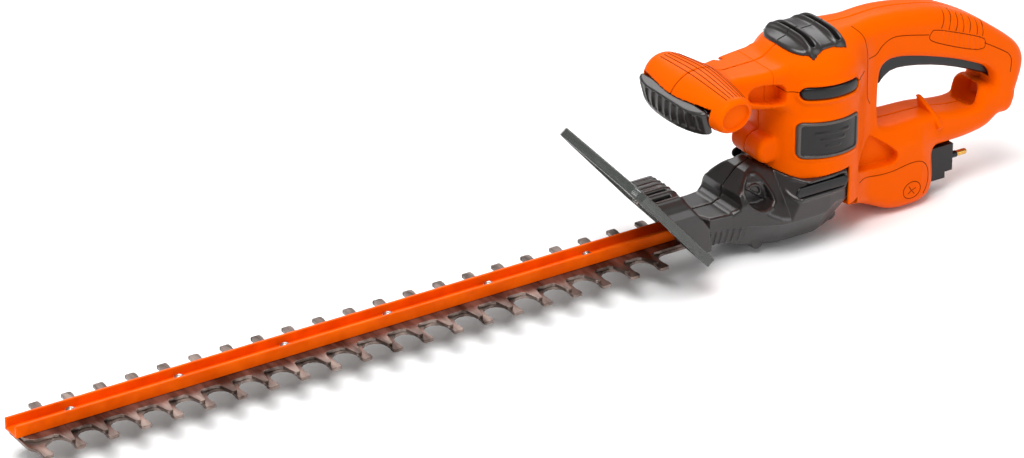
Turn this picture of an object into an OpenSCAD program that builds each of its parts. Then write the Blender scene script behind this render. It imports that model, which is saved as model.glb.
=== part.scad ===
// Corded electric hedge trimmer: two reciprocating blades under a channel beam, a gear case, a vertical motor,
// a D-shaped rear handle and a T-shaped front handle. Millimetres.
// +X runs forward to the blade tip, +Y is the operator's left and +Z is up.
// The origin is on the gear case's flat underside, below the axis of the crank gear.

/* [Blades] */
// Distance from one tooth to the next
tooth_pitch = 22; // [21.5:0.5:22.5]
// Number of teeth along the left edge of the lower blade
tooth_rows = 21; // [16:1:21]
// Distance from the centre line to the tip of a lower tooth
lower_reach = 31.2; // [30:0.2:32]
// Distance from the centre line to the tip of an upper tooth
upper_reach = 26.4; // [25:0.2:27]
// Thickness of one blade
blade_t = 2.2; // [2:0.1:2.4]
// Width of each blade's spine
spine_w = 28; // [27:0.5:28]
// Number of bolts that hold the blades to the beam
bolt_count = 6; // [4:1:6]

/* [Beam] */
// Outside width of the channel
beam_w = 14.5; // [13:0.5:16]
// Height of the channel's flanges
beam_h = 8; // [7:0.5:9]
// Thickness of the channel's sheet
beam_t = 1.8; // [1.5:0.1:2]

/* [Drive] */
// Offset of each eccentric from the crank gear's axis
throw = 5.5; // [5:0.25:5.5]
// Number of teeth on the crank gear
gear_teeth = 56; // [56:2:56]
// Number of teeth on the pinion
pinion_teeth = 14; // [14:1:14]
// Module of the gear pair
gear_module = 1; // [1:1:1]

/* [Housing] */
// Outside radius of the motor tower
tower_r = 37; // [36.5:0.25:37.5]
// Wall thickness of every moulded shell
wall = 2.8; // [2.4:0.2:2.8]
// Outside width of the rear handle
grip_w = 34; // [33:0.5:36]
// Outside width of the bulge around the mains inlet
bulge_w = 46; // [45:1:48]

/* [Front handle] */
// Half length of the cross bar
bar_half = 50; // [48:1:52]
// Half depth of the cross bar's section
bar_a = 20; // [19.5:0.25:20.5]
// Half height of the cross bar's section
bar_b = 15; // [14.5:0.25:15.5]
// Forward tilt of the cross bar's section
bar_tilt = 16; // [14:1:18]
// How far the front lever presses in
lever_press = 4; // [3:0.5:4]

/* [Rear trigger] */
// How far the rear trigger turns
trigger_turn = 4.5; // [3:0.5:4.5]
// Width of the rear trigger
trigger_w = 17; // [15:1:17]

/* [Guard] */
// Half width of the hand guard
guard_half = 52; // [48:1:54]
// Length of the guard's sheet along its slope
guard_len = 93; // [90:1:95]
// Lean of the guard from upright
guard_lean = 41.6; // [41:0.2:42]
// Turn of the guard about its own upright axis
guard_turn = 4.6; // [4:0.2:5]

/* [Hidden] */
$fn = 48;

// Running clearance of a shaft in its bore, and clearance between pieces that only sit together
run_gap = 0.05;
fit_gap = 0.15;

// Heights of the blade stack, measured from the sole
plane_z = 18;
half_gap = 0.05;
lower_z = plane_z - half_gap - blade_t;
upper_z = plane_z + half_gap;
beam_z = upper_z + blade_t + 0.1;
beam_floor = beam_z + beam_t;

// Teeth, and the bolts that the blades slide on
last_tooth_x = 95;
first_tooth_x = last_tooth_x + tooth_pitch * (tooth_rows - 1);
blade_tip_x = first_tooth_x + 6;
beam_tip_x = blade_tip_x + 3;
beam_rear_x = 38;
tooth_lead = 3.1;
stroke = 2 * throw;
bolt_r = 2.5;
sleeve_r = 3.4;
bolt_x0 = 133.5;
bolt_pitch = (first_tooth_x - 31.5 - bolt_x0) / (bolt_count - 1);
beam_pin_x = [43, 50];
beam_pin_z = beam_floor + 3.2;
beam_pin_r = 1.5;

// Gear pair: the motor's axis is one centre distance behind the crank gear
centre_distance = gear_module * (gear_teeth + pinion_teeth) / 2;
motor_x = -centre_distance;
gear_z = 24.5;
gear_t = 6;
eccentric_r = 10;
gear_shaft_r = 3;
swing_r = throw + eccentric_r + 0.4;

// Motor
shaft_r = 4;
pinion_bore = 3.5;
stack_z = 60;
stack_h = 32;
stator_r = 29;
core_r = 15.8;
brush_z = 106;
plate_z = 37;

// Where the gear case ends and the orange housing starts, from front to rear
parting = [[12, 63], [2, 60], [-14, 51], [-34, 47], [-58.2, 47]];

// Rear trigger's pivot
pivot_x = -96;
pivot_z = 116;
pin_r = 2;

// Front handle's cross bar
bar_x = 53;
bar_z = 118;
lever_half = 38;
lever_half_h = 7;

// Guard's foot
guard_x = 65;
guard_z = 20;
guard_t = 2.4;
guard_rim_t = 6.4;
guard_rim_w = 2.6;

// Mains inlet: two round pins at the usual 19 mm spacing
pin_spacing = 19;
mains_pin_r = 2;
mains_pin_z = 23;
mains_pin_core_r = mains_pin_r - 0.1;

// Screws: x, z and the height of the head's seat on the right-hand side
housing_screw_at = [[5, 69, -12], [-80, 131, -13.5], [-193, 84, -13.5], [-148, 47, -13.5], [-70, 34, -19.5],
    [-118.5, 12, -18.6]];
case_screw_at = [[33, 31.5, -17], [-44, 12, -28], [-50, 31, -26], [14, 7, -26]];
handle_screw_at = [[15, 106, -15], [24, 125, -13]];

// ---- Geometry helpers ----

// A unit vector's inward normal for an anticlockwise outline
function edge_normal(a, b) = let (d = b - a) [-d[1], d[0]] / norm(d);

// An outline moved inward by d, or outward where d is negative, with mitred corners
function inset(pts, d) = [for (i = [0:len(pts) - 1])
    let (n = len(pts),
        n1 = edge_normal(pts[(i + n - 1) % n], pts[i]),
        n2 = edge_normal(pts[i], pts[(i + 1) % n]))
    pts[i] + d * (n1 + n2) / (1 + n1 * n2)];

function arc(cx, cy, r, a0, a1, n) = [for (i = [0:n]) [cx, cy] + r * [cos(a0 + (a1 - a0) * i / n),
    sin(a0 + (a1 - a0) * i / n)]];
function ellipse(a, b, n = 32) = [for (i = [0:n - 1]) [a * cos(360 * i / n), b * sin(360 * i / n)]];
function reversed(pts) = [for (i = [len(pts) - 1:-1:0]) pts[i]];
function mirrored(pts) = [for (p = pts) [p[0], -p[1]]];

// An outline given on its +Y side from front to rear, closed by its mirror image
function both_sides(pts) = concat(pts, reversed(mirrored(pts)));

// A shape drawn in X and Z, extruded to a width centred on Y = 0
module side_extrude(pts, width) rotate([90, 0, 0]) linear_extrude(width, center = true) polygon(pts);

// The half of a shape on one side of the middle plane: side is 1 for left and -1 for right
module half(side) {
    intersection() {
        children();
        translate([-400, side > 0 ? 0 : -200, -100]) cube([1100, 200, 400]);
    }
}

module y_cylinder(x, z, r, y0, y1) translate([x, y0, z]) rotate([-90, 0, 0]) cylinder(r = r, h = y1 - y0);

module tube(outer, inner, z0, z1) {
    translate([0, 0, z0]) difference() {
        cylinder(r = outer, h = z1 - z0);
        translate([0, 0, -1]) cylinder(r = inner, h = z1 - z0 + 2);
    }
}

// A straight slot with round ends from x0 to x1
module slot(x0, x1, r, z0, z1) {
    translate([0, 0, z0]) linear_extrude(z1 - z0)
        polygon(concat(arc(x1, 0, r, -90, 90, 8), arc(x0, 0, r, 90, 270, 8)));
}

// A pill outline centred on the origin
function pill(length, height) = let (r = height / 2)
    concat(arc(length / 2 - r, 0, r, -90, 90, 8), arc(r - length / 2, 0, r, 90, 270, 8));

// A helical spring along Z: turns of wire swept as rings of points
module coil_spring(r, wire_r, length, turns) {
    steps = 12;
    sides = 6;
    n = turns * steps;
    rise = length - 2 * wire_r;
    pts = [for (i = [0:n]) for (j = [0:sides - 1])
        let (a = 360 * i / steps, b = 360 * j / sides, q = r + wire_r * cos(b))
        [q * cos(a), q * sin(a), wire_r + rise * i / n + wire_r * sin(b)]];
    side_faces = [for (i = [0:n - 1]) for (j = [0:sides - 1])
        [i * sides + j, i * sides + (j + 1) % sides, (i + 1) * sides + (j + 1) % sides, (i + 1) * sides + j]];
    ends = [[for (j = [sides - 1:-1:0]) j], [for (j = [0:sides - 1]) n * sides + j]];
    polyhedron(pts, concat(side_faces, ends));
}

// A lead that follows a few points
module lead(pts, r) {
    for (i = [0:len(pts) - 2]) {
        d = pts[i + 1] - pts[i];
        translate(pts[i]) rotate([0, acos(d[2] / norm(d)), atan2(d[1], d[0])]) cylinder(r = r, h = norm(d));
    }
    for (i = [1:len(pts) - 2]) translate(pts[i]) sphere(r = r * 1.25);
}

// ---- Screws and their bosses ----

module screw(x, z, seat, tip, r, head_r, head_h) {
    difference() {
        union() {
            y_cylinder(x, z, r, seat, tip);
            y_cylinder(x, z, head_r, seat - head_h, seat);
        }
        translate([x, seat - head_h, z]) rotate([-90, 0, 0]) translate([0, 0, -1]) {
            cube([0.8, head_r * 1.3, 4], center = true);
            cube([head_r * 1.3, 0.8, 4], center = true);
        }
    }
}

module screws(list, tip, r, head_r, head_h) {
    for (s = list) screw(s[0], s[1], s[2] - 0.02, tip, r, head_r, head_h);
}

module bosses(list, r) {
    for (s = list) y_cylinder(s[0], s[1], r, s[2] - 1, 1 - s[2]);
}

module screw_holes(list, tip, r, head_r) {
    for (s = list) {
        y_cylinder(s[0], s[1], r + run_gap, s[2] - 1, tip + 1);
        y_cylinder(s[0], s[1], head_r + 0.3, -60, s[2]);
    }
}

// ---- Orange housing ----

function tower_profile(g) = [[0, 20], [tower_r - g, 20], [tower_r - g, 112], [tower_r - 1.6 - g, 122 - g / 2],
    [tower_r - 6 - g, 129.5 - 0.7 * g], [tower_r - 13 - 0.8 * g, 135 - 0.9 * g], [12, 139.4 - g], [0, 139.4 - g]];

module tower(g) translate([motor_x, 0, 0]) rotate_extrude($fn = 96) polygon(tower_profile(g));

handle_outline = [[-40, 34], [-40, 136.5], [-61, 138], [-80, 140.5], [-98, 140], [-127, 135], [-142, 130.5],
    [-167, 117.5], [-194, 98], [-203, 89], [-205.6, 78], [-200, 61], [-196, 48], [-185, 45], [-168, 39],
    [-150, 36]];
handle_opening = [[-86, 71], [-86, 101], [-96, 109], [-118, 104], [-143, 96], [-168, 86], [-178, 80],
    [-186, 72], [-184, 62], [-165, 57], [-150, 57.5], [-133, 61], [-117, 62], [-102, 63], [-93, 66]];
bulge_outline = [[-45, 16], [-45, 60], [-112, 55], [-127, 40], [-129, 33], [-131, 12], [-126, 4], [-113, 0],
    [-93, 0], [-78, 8], [-66, 13]];
bulge_plan = both_sides([[-30, bulge_w / 2], [-112, bulge_w / 2], [-126, bulge_w / 2 - 4],
    [-133, bulge_w / 2 - 9]]);

module housing_body(g) {
    tower(g);
    difference() {
        side_extrude(inset(handle_outline, g), grip_w - 2 * g);
        side_extrude(inset(handle_opening, -g), grip_w + 2);
    }
    intersection() {
        side_extrude(inset(bulge_outline, g), bulge_w);
        translate([0, 0, -1]) linear_extrude(90) polygon(inset(bulge_plan, g));
    }
    y_cylinder(5, 69, 9 - g, -16 + g, 16 - g);
}

// The room that the gear case takes up, with its top along the parting line
module case_room(g) {
    side_extrude(concat([[-58.2 - g, -20], [90, -20], [90, 63 + g]], [for (p = parting) p + [-g * 0.3, g]]), 120);
}

module cord_tunnel(length, width, height) {
    translate([-181, 0, 57.3]) rotate([0, -17, 0]) cube([length, width, height], center = true);
}

module cord_hook() {
    side_extrude([[-134, 56], [-134, 60], [-129, 66], [-130, 67.5], [-140, 61.5], [-142, 56]], 6);
}

trigger_outline = [[-88, 88], [-87.4, 100], [-89, 112], [-92, 120.5], [-100, 120.5], [-105, 111], [-118, 107],
    [-143, 99], [-168, 89], [-180, 83.5], [-185.4, 80], [-185.4, 73], [-182, 70], [-174, 73], [-157, 81],
    [-136, 88], [-115, 93], [-99, 95.5], [-91, 92]];

module turned_trigger(angle, grow, width) {
    translate([pivot_x, 0, pivot_z]) rotate([0, angle, 0]) translate([-pivot_x, 0, -pivot_z])
        side_extrude(inset(trigger_outline, grow), width);
}

module side_ring(r0, r1, z, length, height, side) {
    intersection() {
        translate([motor_x, 0, 0]) tube(r1, r0, z - 20, z + 20, $fn = 96);
        translate([vent_x, side * tower_r, z]) rotate([90, 0, 0])
            linear_extrude(30, center = true) polygon(pill(length, height));
    }
}

vent_x = motor_x + 4;
vent_z = 110.5;
plate_mid_z = 77.5;

module housing_shell() {
    difference() {
        union() {
            difference() {
                housing_body(0);
                housing_body(wall);
                case_room(0.1);
            }
            cord_tunnel(34, 30, 13.6);
            cord_hook();
            // Front wall of the bulge, behind the gear case
            intersection() {
                housing_body(0);
                translate([-61, -30, 0]) cube([2.6, 60, 43]);
            }
            // Spokes and hub that hold the commutator-end bush
            intersection() {
                tower(1);
                translate([motor_x, 0, 118]) {
                    translate([0, 0, -0.6]) cylinder(r = 12, h = 6.2);
                    for (a = [45, 135]) rotate([0, 0, a]) translate([-40, -4, 0]) cube([80, 8, 5]);
                }
            }
            // Ribs that hold the stator
            for (a = [45:90:315]) translate([motor_x, 0, stack_z]) rotate([0, 0, a])
                translate([stator_r + 0.3, -1.5, 0]) cube([tower_r - stator_r - 1, 3, stack_h]);
            // Bosses for the trigger's pin and for the screws
            for (s = [-1, 1]) y_cylinder(pivot_x, pivot_z, 4.5, s > 0 ? 9.2 : -15, s > 0 ? 15 : -9.2);
            bosses([for (s = housing_screw_at) if (s[0] < 0) s], 5);
            y_cylinder(5, 69, 9, -16, 16);
        }
        cord_tunnel(60, 24.4, 9.8);
        translate([motor_x, 0, 110]) cylinder(r = 7.6, h = 20);
        y_cylinder(pivot_x, pivot_z, pin_r + run_gap, -13.2, 13.2);
        for (i = [0:3]) turned_trigger(trigger_turn * i / 3, -0.6, trigger_w + 0.8);
        screw_holes(housing_screw_at, 11, 1.5, 3);
        for (s = [-1, 1]) {
            side_ring(tower_r - 1.8, tower_r + 3, vent_z, 42, 9, s);
            side_ring(tower_r - 1.3, tower_r + 3, plate_mid_z, 44, 25, s);
        }
        // Rear wall's opening for the inlet block
        translate([-160, -13.4, 9]) cube([35, 26.8, 25]);
        // Air inlets under the vent cap
        for (x = [-23, -44]) translate([x - 2.5, -20, 126]) cube([5, 40, 30]);
        // Way through to the front handle for the leads
        translate([-8, 0, 114]) rotate([0, 90, 0]) cylinder(r = 7, h = 20);
    }
}

module housing_left() color("darkorange") half(1) housing_shell();
module housing_right() color("darkorange") half(-1) housing_shell();

// ---- Front handle ----

module in_bar() translate([bar_x, 0, bar_z]) rotate([0, bar_tilt, 0]) children();

// Cross bar: ellipses that shrink towards its ends
module bar(g) {
    in_bar() hull() for (s = [[0, 1], [0.6, 0.95], [1, 0.62]]) for (side = [-1, 1])
        translate([0, side * (s[0] * bar_half - (s[0] == 1 ? g : 0)), 0]) rotate([90, 0, 0])
            linear_extrude(0.1, center = true) polygon(ellipse(bar_a * s[1] - g, bar_b * s[1] - g));
}

neck_side = [[-9, 101], [18, 102], [32, 106], [44, 108], [44, 128], [32, 131], [18, 130], [-9, 128.5]];
neck_plan = both_sides([[44, 13], [30, 17], [12, 22], [-9, 23]]);

module neck(g) {
    intersection() {
        side_extrude(inset(neck_side, g), 80);
        translate([0, 0, 80]) linear_extrude(80) polygon(inset(neck_plan, g));
    }
}

spring_y = 26;

module front_handle_shell() {
    difference() {
        union() {
            difference() {
                union() {
                    bar(0);
                    neck(0);
                }
                bar(wall);
                neck(wall);
            }
            intersection() {
                bar(1);
                in_bar() for (y = [-spring_y, spring_y]) translate([-18, y, 0]) rotate([0, 90, 0])
                    cylinder(r = 3.6, h = 26.6);
            }
            intersection() {
                neck(0.5);
                bosses(handle_screw_at, 4);
            }
        }
        in_bar() translate([9, -lever_half - 0.6, -lever_half_h - 0.4])
            cube([20, 2 * lever_half + 1.2, 2 * lever_half_h + 0.8]);
        // Recessed oval ends
        for (s = [-1, 1]) in_bar() translate([0, s * (bar_half + 0.2), 0]) rotate([90, 0, 0])
            linear_extrude(2.4, center = true) polygon(ellipse(bar_a * 0.62 - 2, bar_b * 0.62 - 2));
        // Pockets in the neck's sides
        for (s = [-1, 1]) translate([13, s * 23.2, 115]) rotate([90, 0, 0])
            linear_extrude(4, center = true) polygon(pill(24, 13));
        screw_holes(handle_screw_at, 9, 1.25, 2.4);
        translate([-12, -16, 104.5]) cube([14, 32, 21]);
        tower(-fit_gap);
    }
}

module front_handle_left() color("darkorange") half(1) front_handle_shell();
module front_handle_right() color("darkorange") half(-1) front_handle_shell();

module front_lever() {
    edge = concat([[15, -lever_half], [19.5, -lever_half]], arc(-150, 0, 175, -12, 12, 8),
        [[19.5, lever_half], [15, lever_half]]);
    color("dimgray") in_bar() difference() {
        translate([0, 0, -lever_half_h]) linear_extrude(2 * lever_half_h) polygon(edge);
        for (y = [-24:4:24]) translate([24.6, y, 0]) cube([1.6, 1.6, 9], center = true);
        // Pockets over the springs
        for (y = [-spring_y, spring_y]) translate([14, y, 0]) rotate([0, 90, 0])
            cylinder(r = 3.4, h = lever_press + 1.2);
    }
}

module lever_springs() {
    color("silver") in_bar() for (y = [-spring_y, spring_y]) translate([8.8, y, 0]) rotate([0, 90, 0])
        coil_spring(2.6, 0.4, 6, 4);
}

module front_switch() {
    color("black") in_bar() difference() {
        translate([-12, -12, -7]) cube([15, 24, 14]);
        translate([-8, 0, 0]) rotate([0, 90, 0]) cylinder(r = 2.3, h = 20);
    }
}

module front_switch_button() {
    color("red") in_bar() translate([-3, 0, 0]) rotate([0, 90, 0]) cylinder(r = 2, h = 17.8);
}

module front_handle_screws() color("silver") screws(handle_screw_at, 9, 1.25, 2.4, 1.8);

// ---- Gear case ----

case_plan = both_sides([[57, 19], [38, 20], [28, 23.5], [8, 34], [-2, 36], [-40, 36], [-52, 30], [-58, 20]]);
case_side = [[57, 12], [57, 36.5], [46, 35.5], [36, 35.5], [31, 40], [28, 46], [19, 52], [8.5, 57], [2, 59.9],
    [-14, 50.9], [-34, 46.9], [-58, 46.9], [-58, 38], [-50, 10], [-45, 4], [-36, 0], [6, 0], [26, 8],
    [40, 12]];

module case_body(g) {
    intersection() {
        translate([0, 0, -1]) linear_extrude(80) polygon(inset(case_plan, g));
        side_extrude(inset(case_side, g), 90);
    }
}

module case_shell() {
    difference() {
        union() {
            difference() {
                case_body(0);
                case_body(wall);
                // Top, open to the motor
                translate([motor_x, 0, plate_z]) cylinder(r = tower_r - wall, h = 40, $fn = 96);
            }
            intersection() {
                case_body(1);
                union() {
                    // Foot of the gear shaft, and ledges under the bearing plate
                    cylinder(r = 6.5, h = 12);
                    for (s = [-1, 1]) translate([-50, s > 0 ? 31 : -36, plate_z - 3.2]) cube([52, 5, 3]);
                    bosses(case_screw_at, 3.6);
                    // Sockets for the cross pins that hold the beam
                    for (x = beam_pin_x) difference() {
                        y_cylinder(x, beam_pin_z, 4, -18, 18);
                        translate([x - 5, -beam_w / 2 - 0.4, 0]) cube([10, beam_w + 0.8, 60]);
                    }
                }
            }
        }
        // Front mouth for the beam and the blades
        translate([53, -16, lower_z - 1]) cube([10, 32, beam_z + beam_h - lower_z + 2]);
        for (x = beam_pin_x) y_cylinder(x, beam_pin_z, beam_pin_r + run_gap, -15.2, 15.2);
        translate([0, 0, 4]) cylinder(r = gear_shaft_r + run_gap, h = 20);
        screw_holes(case_screw_at, 18, 1.25, 2.4);
        for (s = [-1, 1]) {
            translate([-24, s * 36, 42]) rotate([90, 0, 0]) linear_extrude(2.6, center = true)
                polygon(pill(42, 9));
            translate([-16, s * 36, 9]) cube([56, 1.6, 14], center = true);
        }
        // Shallow pockets in the sloping walls beside the crank gear
        difference() {
            translate([6, -40, 34]) cube([23, 80, 16]);
            translate([0, 0, 30]) linear_extrude(30) polygon(inset(case_plan, 1.4));
        }
    }
}

module gear_case_left() color("dimgray") half(1) case_shell();
module gear_case_right() color("dimgray") half(-1) case_shell();
module gear_case_screws() color("silver") screws(case_screw_at, 18, 1.25, 2.4, 1.8);

// ---- Trim on the tower and the gear case ----

cap_plan = both_sides([[-6, 9], [-10, 18], [-18, 24], [-46, 24], [-50, 20]]);
ridge_outline = both_sides([[143, 6], [142.4, 14], [139.4, 23], [134.5, 28], [126, 28]]);

module vent_cap() {
    difference() {
        union() {
            intersection() {
                tower(-1.8);
                translate([0, 0, 100]) linear_extrude(60) polygon(cap_plan);
            }
            for (x = [-23, -44]) translate([x - 4, 0, 0]) rotate([0, -90, 180]) linear_extrude(8)
                polygon(ridge_outline);
        }
        tower(-fit_gap);
        side_extrude(inset(handle_outline, -fit_gap), grip_w + 2 * fit_gap);
        for (x = [-23, -44]) translate([x - 1.1, -21, 138.5]) cube([2.2, 42, 10]);
    }
}

module vent_cap_left() color("black") half(1) vent_cap();
module vent_cap_right() color("black") half(-1) vent_cap();

module side_vents() {
    color("black") for (s = [-1, 1]) side_ring(tower_r - 1.8 + fit_gap, tower_r + 0.6, vent_z, 41.4, 8.4, s);
}

module exhaust_vents() {
    color("black") for (s = [-1, 1]) translate([-24, s * 36, 42]) rotate([90, 0, 0]) difference() {
        linear_extrude(2.2, center = true) polygon(pill(41.4, 8.4));
        translate([0, 0, -s * 1.2]) linear_extrude(1.2, center = true) polygon(pill(36, 4));
    }
}

module side_plates() {
    color("dimgray") for (s = [-1, 1])
        side_ring(tower_r - 1.3 + fit_gap, tower_r + 1, plate_mid_z, 43.4, 24.4, s);
}

// ---- Guard ----

module in_guard() translate([guard_x, 0, guard_z]) rotate([0, guard_lean, 0]) rotate([0, 0, -guard_turn]) children();

// Lower edge of the guard, above the blades
guard_foot = 5;
guard_outline = [[-guard_half + 3, guard_foot], [guard_half - 3, guard_foot], [guard_half, guard_foot + 4],
    [guard_half - 0.5, guard_len - 15], [guard_half - 3, guard_len - 5], [guard_half - 11, guard_len],
    [-guard_half + 11, guard_len], [-guard_half + 3, guard_len - 5], [-guard_half + 0.5, guard_len - 15],
    [-guard_half, guard_foot + 4]];
guard_screw_y = 22;
guard_screw_z = 24;

module guard_sheet(pts, x0, x1) {
    translate([x0, 0, 0]) rotate([90, 0, 90]) linear_extrude(x1 - x0) polygon(pts);
}

module guard() {
    color("lightgray", 0.6) in_guard() difference() {
        guard_sheet(guard_outline, -guard_rim_t / 2, guard_rim_t / 2);
        // The sheet is thinner than its rim on both faces
        guard_sheet(inset(guard_outline, guard_rim_w), guard_t / 2, guard_rim_t);
        guard_sheet(inset(guard_outline, guard_rim_w), -guard_rim_t, -guard_t / 2);
        // Room over the beam
        translate([-8, -beam_w / 2 - 2.6, -5]) cube([16, beam_w + 5.2, 20]);
        for (s = [-1, 1]) translate([-5, s * guard_screw_y, guard_screw_z]) rotate([0, 90, 0])
            cylinder(r = 1.6, h = 10);
    }
}

collar_arch = [[-27, 9], [27, 9], [27, 38], [25, 47], [19, 55], [9, 61], [-9, 61], [-19, 55], [-25, 47],
    [-27, 38]];
collar_side = [[54, 9], [110, 9], [110, 63], [84, 63], [77, 60], [57, 33]];

// The collar as a solid moved inward by g, cut off by the guard's rear face
module collar_body(g) {
    intersection() {
        translate([40, 0, 0]) rotate([90, 0, 90]) linear_extrude(80) polygon(inset(collar_arch, g));
        side_extrude(inset(collar_side, g), 80);
        in_guard() translate([-90 - guard_t / 2 - fit_gap - g, -70, -60]) cube([90, 140, 200]);
    }
}

module guard_collar() {
    color("dimgray") difference() {
        union() {
            difference() {
                collar_body(0);
                collar_body(2.4);
            }
            intersection() {
                collar_body(0.5);
                in_guard() for (s = [-1, 1]) translate([-14, s * guard_screw_y, guard_screw_z])
                    rotate([0, 90, 0]) cylinder(r = 3.4, h = 20);
            }
        }
        // Rear mouth over the gear case's neck, and front mouth for the beam and the blades
        translate([30, -20.2, 11.4]) cube([28, 40.4, 25.6]);
        translate([50, -20.2, 14]) cube([40, 40.4, 19]);
        // Room for the bottom of the guard's rim
        in_guard() translate([-guard_rim_t / 2 - 0.3, -60, 0])
            cube([10, 120, guard_foot + guard_rim_w + 0.3]);
        // Slots between the ribs of the arch
        for (y = [-14.5, -9.5, 9.5, 14.5]) translate([80, y - 1.2, 48]) cube([24, 2.4, 20]);
        in_guard() for (s = [-1, 1]) translate([-10, s * guard_screw_y, guard_screw_z]) rotate([0, 90, 0])
            cylinder(r = 1.3, h = 20);
    }
}

module guard_screws() {
    color("silver") in_guard() for (s = [-1, 1]) translate([0, s * guard_screw_y, guard_screw_z])
        rotate([0, 90, 0]) {
            translate([0, 0, -9.5]) cylinder(r = 1.25, h = 11.3);
            translate([0, 0, guard_t / 2 + 0.05]) cylinder(r = 2.6, h = 1.4);
        }
}

// ---- Beam, blades and their fixings ----

module blade_beam() {
    color("orangered") difference() {
        translate([beam_rear_x, -beam_w / 2, beam_z]) cube([beam_tip_x - beam_rear_x, beam_w, beam_h]);
        translate([beam_rear_x - 1, beam_t - beam_w / 2, beam_floor])
            cube([beam_tip_x - beam_rear_x + 2, beam_w - 2 * beam_t, beam_h]);
        for (i = [0:bolt_count - 1]) translate([bolt_x0 + i * bolt_pitch, 0, 0])
            cylinder(r = bolt_r + run_gap, h = 40);
        for (x = beam_pin_x) y_cylinder(x, beam_pin_z, beam_pin_r + run_gap, -10, 10);
    }
}

module beam_pins() color("silver") for (x = beam_pin_x) y_cylinder(x, beam_pin_z, beam_pin_r, -15, 15);

neck_half = 3;
gullet_r = tooth_pitch / 2 - neck_half;
gullet_y = spine_w / 2 + gullet_r;
head_half = 3.5;

// A lower tooth: a round gullet on each side, a narrow neck and a flared square head
function lower_tooth(x) = concat(arc(x - tooth_pitch / 2, gullet_y, gullet_r, -90, 0, 4),
    [[x - neck_half, lower_reach - 6], [x - head_half, lower_reach - 4], [x - head_half, lower_reach - 0.8],
    [x - head_half + 0.8, lower_reach], [x + head_half - 0.8, lower_reach], [x + head_half, lower_reach - 0.8],
    [x + head_half, lower_reach - 4], [x + neck_half, lower_reach - 6]],
    arc(x + tooth_pitch / 2, gullet_y, gullet_r, 180, 269, 4));

// An upper tooth: a plain tapered one
function upper_tooth(x) = [[x - 6.5, spine_w / 2], [x - 4, spine_w / 2 + 1.6], [x - 1.9, upper_reach - 0.8],
    [x - 1.2, upper_reach], [x + 1.2, upper_reach], [x + 1.9, upper_reach - 0.8],
    [x + 4, spine_w / 2 + 1.6], [x + 6.5, spine_w / 2]];

function joined(lists) = [for (l = lists) each l];

yoke_half = swing_r + 3.5;
shoulder = 8;

module lower_blade() {
    back = -swing_r - stroke - 3.5;
    front = swing_r + 3;
    left = concat([[back, 14], [back + 5, yoke_half], [front, yoke_half], [front + shoulder, spine_w / 2]],
        joined([for (i = [0:tooth_rows - 2]) lower_tooth(last_tooth_x + i * tooth_pitch)]),
        [for (p = lower_tooth(first_tooth_x)) if (p[0] <= first_tooth_x + head_half && p[1] > 18) p],
        [[blade_tip_x, 16], [blade_tip_x, 8]]);
    right = concat([[back, -14], [back + 5, -yoke_half], [front, -yoke_half], [front + shoulder, -spine_w / 2]],
        mirrored(joined([for (i = [0:tooth_rows - 1]) lower_tooth(last_tooth_x + (i - 1) * tooth_pitch)])),
        [[blade_tip_x - 5, -spine_w / 2], [blade_tip_x, -8]]);
    color("gray") difference() {
        translate([0, 0, lower_z]) linear_extrude(blade_t) polygon(concat(reversed(left), right));
        translate([-swing_r - stroke, -swing_r, lower_z - 1]) cube([2 * swing_r + stroke, 2 * swing_r, blade_t + 2]);
        for (i = [0:bolt_count - 1]) let (x = bolt_x0 + i * bolt_pitch)
            slot(x - stroke - 0.2, x + 0.2, sleeve_r + 0.2, lower_z - 1, lower_z + blade_t + 1);
    }
}

module upper_blade() {
    back = -swing_r - 3.5;
    front = swing_r + stroke + 3;
    left = concat([[back, 14], [back + 5, yoke_half], [front, yoke_half], [front + shoulder, spine_w / 2]],
        joined([for (i = [0:tooth_rows - 2]) upper_tooth(last_tooth_x + tooth_lead + i * tooth_pitch)]),
        [[blade_tip_x - 6, spine_w / 2], [blade_tip_x - 1, 9]]);
    color("silver") difference() {
        translate([0, 0, upper_z]) linear_extrude(blade_t) polygon(concat(reversed(left), mirrored(left)));
        translate([-swing_r, -swing_r, upper_z - 1]) cube([2 * swing_r + stroke, 2 * swing_r, blade_t + 2]);
        for (i = [0:bolt_count - 1]) let (x = bolt_x0 + i * bolt_pitch)
            slot(x - 0.2, x + stroke + 0.2, sleeve_r + 0.2, upper_z - 1, upper_z + blade_t + 1);
    }
}

module at_bolts() for (i = [0:bolt_count - 1]) translate([bolt_x0 + i * bolt_pitch, 0, 0]) children();

washer_z = lower_z - 1.35;
nut_z = washer_z - 4.1;

module blade_bolts() {
    color("silver") at_bolts() {
        translate([0, 0, nut_z - 0.8]) cylinder(r = bolt_r, h = beam_floor - nut_z + 2);
        translate([0, 0, beam_floor + 0.05]) cylinder(r = 4, h = 2.4, $fn = 6);
        translate([0, 0, beam_floor + 2.45]) rotate_extrude()
            polygon(concat([[0, 0], [3.3, 0]], arc(0, -2, 3.86, 31, 90, 5)));
    }
}

module blade_sleeves() color("silver") at_bolts() tube(sleeve_r, bolt_r + run_gap, lower_z - 0.1, beam_z - 0.02);
module blade_washers() color("gray") at_bolts() tube(6, bolt_r + run_gap, washer_z, lower_z - 0.15);

module blade_nuts() {
    color("silver") at_bolts() difference() {
        translate([0, 0, nut_z]) cylinder(r = 4.6, h = 4, $fn = 6);
        translate([0, 0, nut_z - 1]) cylinder(r = bolt_r + run_gap, h = 6);
    }
}

// ---- Gears and eccentrics ----

pressure_angle = 20;

// Involute function in degrees at radius r, for base radius rb
function involute(rb, r) = let (a = acos(min(1, rb / r))) tan(a) * 180 / PI - a;

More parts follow.
